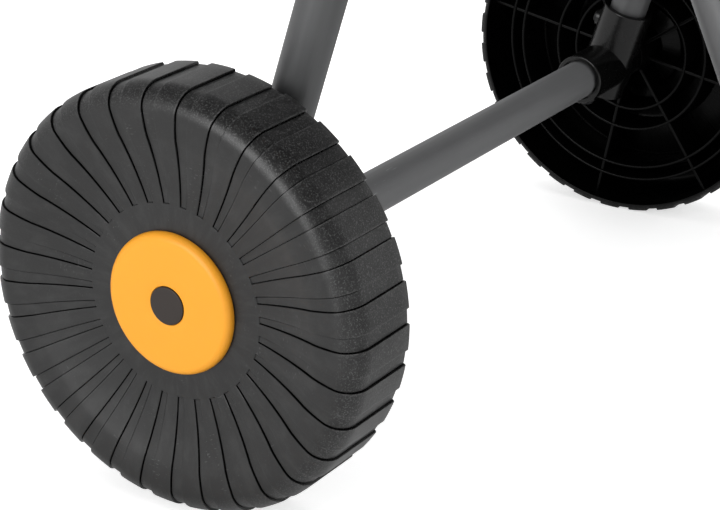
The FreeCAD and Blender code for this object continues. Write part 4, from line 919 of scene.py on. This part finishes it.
    def columns(self, radius: float, depth: float) -> list[tuple[float, float, float, float]]:
        """One pitch at a radius: angle, share of the groove's depth, painted crease shade and edge of each
        column.

        A narrow slit runs along the foot of each of the groove's walls. A wall's columns are listed
        from the lug into the groove: how far past the wall's line, share of the depth, painted crease shade,
        edge.

        Args:
            radius: Radius of the row.
            depth: Depth of the groove there, 0 where the row has none.

        Returns:
            The columns, the last one being the first of the next pitch.
        """
        first = math.radians(self.groove_start)
        last = first + math.radians(self.groove_angle)
        pitch = FULL_TURN / self.groove_count
        scale = 1.0 / max(radius, self.dish_r)
        slit = 1.0 + self.slit / max(depth, self.slit)
        # third column of each wall row: painted shade, which the finish turns near-black at the slit and the
        # wall's foot
        wall = ((-0.9, 0.0, 0.0, 0.0), (-0.4, 0.0, 0.0, 0.6), (-0.1, 0.04, 0.0, 1.0), (0.02, 0.3, 1.0, 0.2),
                (0.12, slit, 1.0, 0.0), (0.3, slit, 1.0, 0.0), (0.42, 1.0, 0.5, 0.0), (0.8, 1.0, 0.0, 0.0))
        made = [(first + offset * scale, *rest) for offset, *rest in wall]
        made += [((first + last) / 2, 1.0, 0.0, 0.0)]
        made += [(last - offset * scale, *rest) for offset, *rest in reversed(wall)]
        lug = pitch - (last - first)
        made += [(last + lug * t, 0.0, 0.0, 0.0) for t in (0.25, 0.5, 0.75)]
        return made + [(made[0][0] + pitch, 0.0, 0.0, 0.0)]

    def segment(self) -> bpy.types.Mesh:
        """One pitch of the wheel, open where it meets the next.

        Returns:
            The mesh, with what its finish reads: the painted shade of the grooves' creases, the worn edges
            of the lugs, the tread and the hollow back, each from 0 to 1.
        """
        rows = [(*row, 0.0) for row in self.outer_rows()] + [(p, p, 0.0, 1.0) for p in self.inner_rows()]
        tee = self.shop.places.tee(self.side)
        points, marks, width = [], {"crease": [], "edge": [], "tread": [], "hollow": []}, 0
        for top, low, tread, hollow in rows:
            across = self.columns(top[1], math.dist(top, low))
            width = len(across)
            grooved = 1.0 if top != low else 0.0
            for angle, share, crease, edge in across:
                place = top[0] + (low[0] - top[0]) * share
                radius = top[1] + (low[1] - top[1]) * share
                points.append((tee.x + self.side.value * place * MM,
                               tee.y + radius * MM * math.sin(angle),
                               tee.z + radius * MM * math.cos(angle)))
                for name, value in (("crease", crease * grooved), ("edge", edge * grooved), ("tread", tread),
                                    ("hollow", hollow)):
                    marks[name].append(value)
        faces = []
        for i in range(len(rows)):
            here, there = i * width, (i + 1) % len(rows) * width
            for j in range(width - 1):
                quad = (here + j, here + j + 1, there + j + 1, there + j)
                faces.append(quad if self.side is Side.LEFT else tuple(reversed(quad)))
        mesh = mesh_of("wheel_segment", points, faces)
        for name, values in marks.items():
            mesh.attributes.new(name, "FLOAT", "POINT").data.foreach_set("value", values)
        return mesh

    def spoke(self) -> bpy.types.Mesh:
        """One radial rib of the hollow back, its ends inside the walls."""
        front = [p for p in self.inner_line(1.0) if p[0] > self.rib_back + 1.0]
        front.append((front[-1][0], self.recess_r + self.wall))
        front.append((self.recess - self.wall + 1.0, self.recess_r + self.wall - 1.0))
        front.append((self.recess - self.wall + 1.0, self.hub_r - 1.0))
        back = [(self.rib_back + 1.0, self.hub_r - 1.0), (self.rib_back + 1.0, front[0][1])]
        outline = front + back
        tee = self.shop.places.tee(self.side)
        work = bmesh.new()
        half = self.rib_half * MM
        rings = []
        for y in (-half, half):
            rings.append([work.verts.new((tee.x + self.side.value * x * MM, tee.y + y, tee.z + r * MM))
                          for x, r in outline])
        work.faces.new(rings[0])
        work.faces.new(list(reversed(rings[1])))
        count = len(outline)
        for i in range(count):
            k = (i + 1) % count
            work.faces.new((rings[0][i], rings[1][i], rings[1][k], rings[0][k]))
        bmesh.ops.recalc_face_normals(work, faces=work.faces)
        back_x = tee.x + self.side.value * (self.rib_back + 1.0) * MM
        back_edges = [edge for edge in work.edges
                      if all(abs(vert.co.x - back_x) < TOUCH for vert in edge.verts)
                      and abs(edge.verts[0].co.y - edge.verts[1].co.y) < half / 2]
        bmesh.ops.bevel(work, geom=back_edges, offset=self.rib_round * MM, segments=2, profile=0.5,
                        affect="EDGES")
        bmesh.ops.triangulate(work, faces=[f for f in work.faces if len(f.verts) > 4])
        mesh = bpy.data.meshes.new("wheel_spoke")
        work.to_mesh(mesh)
        work.free()
        mark = mesh.attributes.new("hollow", "FLOAT", "POINT")
        mark.data.foreach_set("value", [1.0] * len(mesh.vertices))
        return mesh

    def build(self) -> None:
        """Makes the wheel and lets it stand for its CAD node."""
        shop = self.shop
        tee = shop.places.tee(self.side)
        finish = shop.finishes.wheel
        material = shop.material(finish)
        values = {"Count": self.groove_count, "Centre": tuple(tee), "Start": 0.0, "Weld": SEAM_WELD,
                  "Finish": material}
        shell = new_object(f"wheel_shell_{self.side.label}", self.segment())
        shop.ring.apply(shell, values)
        tidy(shell.data, SEAM_WELD / 2, WHEEL_SHARP)
        spokes = new_object("spokes", self.spoke())
        start = math.radians(self.spoke_start)
        shop.ring.apply(spokes, {**values, "Count": self.spoke_count, "Start": start, "Weld": WELD})
        tidy(spokes.data, WELD, WHEEL_SHARP)
        work = bmesh.new()
        work.from_mesh(shell.data)
        work.from_mesh(spokes.data)
        work.to_mesh(shell.data)
        work.free()
        bpy.data.objects.remove(spokes)
        shell.data.set_sharp_from_angle(angle=math.radians(WHEEL_SHARP))
        node = self.side.node("wheel")
        shop.finish_piece(shell, node, finish, node)


@dataclass
class HubCap:
    """Round cap over the wheel's recess, with its small centre plug. Lengths are in millimetres.

    Places run outboard from the plane of the legs, and radii from the axle.

    Attributes:
        shop: Workshop that finishes the pieces.
        side: Side of the cart.
        radius: Radius of the cap.
        front: Place of the cap's face.
        back: Place of the flange's back, a little inside the wheel's face.
        edge_round: Radius of the rounded rim.
        wall: Wall of the face.
        skirt_r: Radius of the skirt that fits the recess.
        skirt_wall: Wall of the skirt.
        skirt_back: Place of the skirt's inboard end.
        plug_r: Radius of the plug's head.
        plug_slip: Gap round the plug's head.
        plug_seat: How deep the head is seated.
        plug_proud: How far the head stands proud of the face.
        stem_r: Radius of the plug's stem.
        bend_steps: Rows round the rounded rim.
        steps: Faces round the axis.
    """

    shop: Workshop
    side: Side
    radius: float = 33.5
    front: float = 61.8
    back: float = 56.85
    edge_round: float = 3.7
    wall: float = 2.2
    skirt_r: float = 22.95
    skirt_wall: float = 2.0
    skirt_back: float = 53.2
    plug_r: float = 8.95
    plug_slip: float = 0.25
    plug_seat: float = 1.2
    plug_proud: float = 0.45
    stem_r: float = 5.0
    bend_steps: int = 14
    steps: int = 160

    def cap_profile(self) -> list[Point]:
        """Closed section of the cap: skirt, shadow gap, rounded rim, face, plug seat and inside."""
        rim_start = self.front - self.edge_round
        half_way = math.sqrt(0.5)
        bend = arc_through((rim_start, self.radius),
                           (rim_start + self.edge_round * half_way,
                            self.radius - self.edge_round * (1 - half_way)),
                           (self.front, self.radius - self.edge_round), self.bend_steps)
        seat_r = self.plug_r + self.plug_slip
        floor = self.front - self.plug_seat
        inner = self.skirt_r - self.skirt_wall
        return [
            (self.skirt_back, inner), (self.skirt_back, self.skirt_r - 0.3),
            (self.skirt_back + 0.3, self.skirt_r), (self.back, self.skirt_r), (self.back, self.radius - 0.9),
            (self.back + 0.45, self.radius - 0.75), (self.back + 0.55, self.radius - 0.1),
            (self.back + 0.75, self.radius), *bend, (self.front, self.radius - 8.0),
            (self.front, seat_r + 4.0), (self.front, seat_r + 0.35), (self.front - 0.1, seat_r + 0.08),
            (self.front - 0.35, seat_r), (floor + 0.1, seat_r), (floor, seat_r - 0.1),
            (floor, self.stem_r + 0.06), (self.front - self.wall, self.stem_r + 0.06),
            (self.front - self.wall, inner - 0.3), (self.front - self.wall - 0.3, inner),
        ]

    def plug_profile(self) -> list[Point]:
        """Section of the plug, from the middle of its stem to the middle of its face."""
        floor = self.front - self.plug_seat
        face = self.front + self.plug_proud
        stem_back = self.front - self.wall - 0.3
        return [
            (stem_back, 0.0), (stem_back, self.stem_r - 0.3), (stem_back + 0.3, self.stem_r),
            (floor + 0.02, self.stem_r), (floor + 0.02, self.plug_r - 0.15), (floor + 0.17, self.plug_r),
            (face - 0.4, self.plug_r), (face - 0.18, self.plug_r - 0.06), (face - 0.05, self.plug_r - 0.2),
            (face, self.plug_r - 0.45), (face, self.plug_r * 0.66), (face, self.plug_r * 0.33), (face, 0.0),
        ]

    def build(self) -> None:
        """Makes the cap and the plug."""
        shop = self.shop
        tee = shop.places.tee(self.side)
        outward = Vector((self.side.value, 0, 0))
        body = self.side.node("wheel")
        pieces = (("hub_cap", self.cap_profile(), True, shop.finishes.orange),
                  ("cap_plug", self.plug_profile(), False, shop.finishes.plug))
        for name, profile, loop, finish in pieces:
            metres = [(x * MM, r * MM) for x, r in profile]
            mesh = put(lathe(name, metres, self.steps, loop), tee, outward)
            piece = new_object(f"{name}_shape_{self.side.label}", mesh)
            shop.finish_piece(piece, body, finish, self.side.node(name))


# ---- tubes ---------------------------------------------------------------------------------------
@dataclass
class FrameTubes:
    """The finish of the frame's steel tubes, its streaks drawn out along each tube."""

    shop: Workshop

    def build(self) -> None:
        """Dresses each tube."""
        places = self.shop.places
        reel = places.reel
        for side in Side:
            for leg, foot in (("wheel_leg", places.axle), ("front_leg", middle(side.node("foot_fitting")))):
                rise = Vector((0.0, reel.y - foot.y, reel.z - foot.z))
                self.dress(side.node(leg), rise, f"tube_paint_{leg}")
        across = Vector((1.0, 0.0, 0.0))
        # painted light: the axle tube's paint is a lighter copy of the tube paint, standing in for the
        # stronger light on this tube
        self.dress("axle_tube", across, "tube_paint_lit", 1.6, 0.12)
        for name in ("front_tube", "handle_tube"):
            self.dress(name, across, "tube_paint_cross")

    def dress(self, node: str, along: Vector, material: str, paler: float = 1.0, duller: float = 0.0) -> None:
        """Gives one tube the paint with streaks in its direction.

        Args:
            node: The tube's node.
            along: Direction of the tube.
            material: Name of the material.
            paler: How many times paler it is than the paint, as painted light.
            duller: What the wear adds to the roughness.
        """
        base = self.shop.finishes.paint
        colour = tuple(level * paler for level in base.colour)
        paint = Painted(base.slot, colour, base.rough + duller, tuple(along.normalized()))
        self.shop.dress_node(node, paint, material)


@dataclass
class PlainNodes:
    """The CAD nodes whose shape is right and that only need their finish."""

    shop: Workshop

    def build(self) -> None:
        """Dresses each node."""
        finishes = self.shop.finishes
        groups: list[tuple[Finish, list[str]]] = [
            (finishes.steel, ["axle_rod", "axle_washers", "push_nuts", "tie_bolts", "tie_nuts", "crank_pin",
                              "swivel_clip"]),
            (finishes.screw, ["crank_screw", "shaft_screws"]),
            (finishes.soft, ["handle_grip"]),
            (finishes.seal, ["inlet_pipe_seal", "inlet_spigot_seal", "outlet_seal"]),
            (finishes.reel, ["drum"]),
            (finishes.shaft, ["crank_shaft", "inlet_pipe", "outlet_elbow", "swivel_elbow"]),
            (finishes.spigot, ["inlet_spigot", "outlet_spigot", "knob_cap"]),
            (finishes.crank, ["crank_arm", "crank_knob"]),
        ]
        for side in Side:
            groups += [
                (finishes.screw, [side.node("wheel_bracket_screws"), side.node("foot_screws"),
                                  side.node("side_bracket_screws")]),
                (finishes.fitting, [side.node("wheel_bracket"), side.node("foot_fitting"),
                                    side.node("side_bracket")]),
                (finishes.soft, [side.node("foot_pad")]),
                (finishes.bearing, [side.node("bearing_bush"), side.node("thrust_washer")]),
                (finishes.reel, [side.node("reel_flange")]),
            ]
        for finish, names in groups:
            for name in names:
                self.shop.dress_node(name, finish)


# ---- studio --------------------------------------------------------------------------------------
@dataclass(frozen=True)
class Lamp:
    """A square soft lamp.

    Attributes:
        name: Its name.
        direction: Direction from the aim to the lamp.
        distance: How far it stands, in metres.
        size: Length of its sides, in metres.
        power: Its power, in watts.
        mirrored: Whether glossy surfaces mirror it.
    """

    name: str
    direction: tuple[float, float, float]
    distance: float
    size: float
    power: float
    mirrored: bool = False

    def build(self, aim: Vector) -> None:
        """Hangs the lamp and turns it to its aim."""
        data = bpy.data.lights.new(self.name, "AREA")
        data.shape = "SQUARE"
        data.size = self.size
        data.energy = self.power
        lamp = bpy.data.objects.new(self.name, data)
        bpy.context.scene.collection.objects.link(lamp)
        way = Vector(self.direction).normalized()
        lamp.location = aim + way * self.distance
        lamp.rotation_euler = way.to_track_quat("Z", "Y").to_euler()
        lamp.visible_glossy = self.mirrored


@dataclass
class Studio:
    """Floor, soft light and camera.

    Attributes:
        shop: Workshop that knows the cart's places.
        stand_off: Place of the camera from the left wheel bracket, in metres.
        yaw: Turn of the view from +X toward +Y, in degrees.
        pitch: How far the view looks down, in degrees.
        lens: Focal length, in millimetres.
        floor_size: Length of the floor's sides, in metres.
        floor_glow: Light that the floor shows to the camera.
        mirrored_glow: Light that the floor shows in reflections.
        fill: Strength of the even grey fill.
        mirrored_wall: Level of the walls in reflections.
        mirrored_ceiling: Level of the ceiling in reflections.
        ceiling: Heights of the view direction between which the walls fade into the ceiling.
        ceiling_tilt: How far the ceiling's edge tilts down toward the front.
        lamps: The lamps.
    """

    shop: Workshop
    stand_off: tuple[float, float, float] = (-0.7153, -0.5142, 0.3567)
    yaw: float = 32.33
    pitch: float = 21.90
    lens: float = 102.3
    floor_size: float = 60.0
    floor_glow: float = 0.6
    mirrored_glow: float = 0.12
    fill: float = 0.44
    mirrored_wall: float = 0.8
    mirrored_ceiling: float = 0.16
    ceiling: tuple[float, float] = (0.38, 0.52)
    ceiling_tilt: float = 0.15
    lamps: tuple[Lamp, ...] = (
        Lamp("key_lamp", (-0.97, 0.1, 0.22), 2.2, 1.3, 26.0, True),
        Lamp("top_lamp", (-0.1, 0.1, 1.0), 2.4, 2.0, 14.0),
        Lamp("rear_lamp", (0.6, 0.7, 0.8), 2.6, 2.0, 16.0),
        Lamp("front_lamp", (0.6, -0.9, 0.25), 2.6, 2.0, 24.0),
    )

    def floor(self) -> None:
        """A wide pale floor that shows white, but keeps the shadows."""
        half = self.floor_size / 2
        corners = [(-half, -half, 0.0), (half, -half, 0.0), (half, half, 0.0), (-half, half, 0.0)]
        floor = new_object("floor", mesh_of("floor", corners, [(0, 1, 2, 3)]))
        material = bpy.data.materials.new("studio_floor")
        material.use_nodes = True
        graph = Graph(material.node_tree)
        camera, mirrored = self.rays(graph)
        lit = graph.out("ShaderNodeBsdfDiffuse", {}, {"Color": (0.86, 0.86, 0.86, 1.0)})
        strength = camera * self.floor_glow + mirrored * self.mirrored_glow
        glow = graph.out("ShaderNodeEmission", {}, {"Color": (1.0, 1.0, 1.0, 1.0), "Strength": strength})
        both = graph.out("ShaderNodeAddShader", {}, {0: lit, 1: glow})
        graph.node("ShaderNodeOutputMaterial", {}, {"Surface": both})
        floor.data.materials.append(material)
        floor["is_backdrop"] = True

    @staticmethod
    def rays(graph: Graph) -> tuple[Sock, Sock]:
        """Two masks: rays from the camera, and rays from a reflection or through a clear surface."""
        path = graph.node("ShaderNodeLightPath", {}, {})
        camera, glossy, clear = (Sock(graph, path.outputs[name]) for name in
                                 ("Is Camera Ray", "Is Glossy Ray", "Is Transmission Ray"))
        return camera, graph.math("MINIMUM", glossy + clear, 1.0) * (1.0 - camera)

    def world(self) -> None:
        """A white backdrop, an even grey fill, and pale walls under a dim ceiling for the mirrored rays."""
        world = bpy.data.worlds.new("studio")
        bpy.context.scene.world = world
        world.use_nodes = True
        graph = Graph(world.node_tree)
        camera, mirrored = self.rays(graph)
        way = graph.out("ShaderNodeTexCoord", {}, {}, "Generated")
        parts = graph.node("ShaderNodeSeparateXYZ", {}, {0: way})
        y, z = (Sock(graph, parts.outputs[i]) for i in (1, 2))
        dim = (z - y * self.ceiling_tilt).over(*self.ceiling) * (self.mirrored_wall - self.mirrored_ceiling)
        room = self.mirrored_wall - dim
        strength = camera + mirrored * room + (1.0 - camera - mirrored) * self.fill
        values = {"Color": (1.0, 1.0, 1.0, 1.0), "Strength": strength}
        light = graph.out("ShaderNodeBackground", {}, values)
        graph.node("ShaderNodeOutputWorld", {}, {"Surface": light})

    def camera(self) -> None:
        """Camera that looks down on the left wheel from the front left."""
        data = bpy.data.cameras.new("camera")
        data.lens = self.lens
        data.clip_start = 0.01
        camera = bpy.data.objects.new("camera", data)
        bpy.context.scene.collection.objects.link(camera)
        camera.location = self.shop.places.tee(Side.LEFT) + Vector(self.stand_off)
        yaw, pitch = math.radians(self.yaw), math.radians(self.pitch)
        look = Vector((math.cos(pitch) * math.cos(yaw), math.cos(pitch) * math.sin(yaw), -math.sin(pitch)))
        camera.rotation_euler = look.to_track_quat("-Z", "Y").to_euler()
        bpy.context.scene.camera = camera

    def build(self) -> None:
        """Sets the whole studio up."""
        bpy.context.scene.view_settings.view_transform = "Standard"
        self.floor()
        self.world()
        self.camera()
        aim = self.shop.places.reel * 0.5 + self.shop.places.axle * 0.5
        for lamp in self.lamps:
            lamp.build(aim)


def write_sizes() -> None:
    """Works out the CAD's box and the visual model's box, rounded."""
    boxes = {"cad": CAD_BOX, "visual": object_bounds()}
    plain = {name: [[round(v, 6) for v in corner] for corner in box] for name, box in boxes.items()}


def main() -> None:
    """Builds the cart's sub-assemblies in order, and the studio round them."""
    logging.basicConfig(level=logging.INFO, format="%(name)s %(message)s")
    places = Places.from_frame()
    wheel = WheelPlastic("wheel_plastic", (0.006, 0.006, 0.0061), 0.4, specular=0.5, axle=tuple(places.axle))
    shop = Workshop(places, Finishes(wheel))
    for side in Side:
        Wheel(shop, side).build()
        HubCap(shop, side).build()
    FrameTubes(shop).build()
    PlainNodes(shop).build()
    Studio(shop).build()
    write_sizes()


if __name__ == "__main__":
    main()
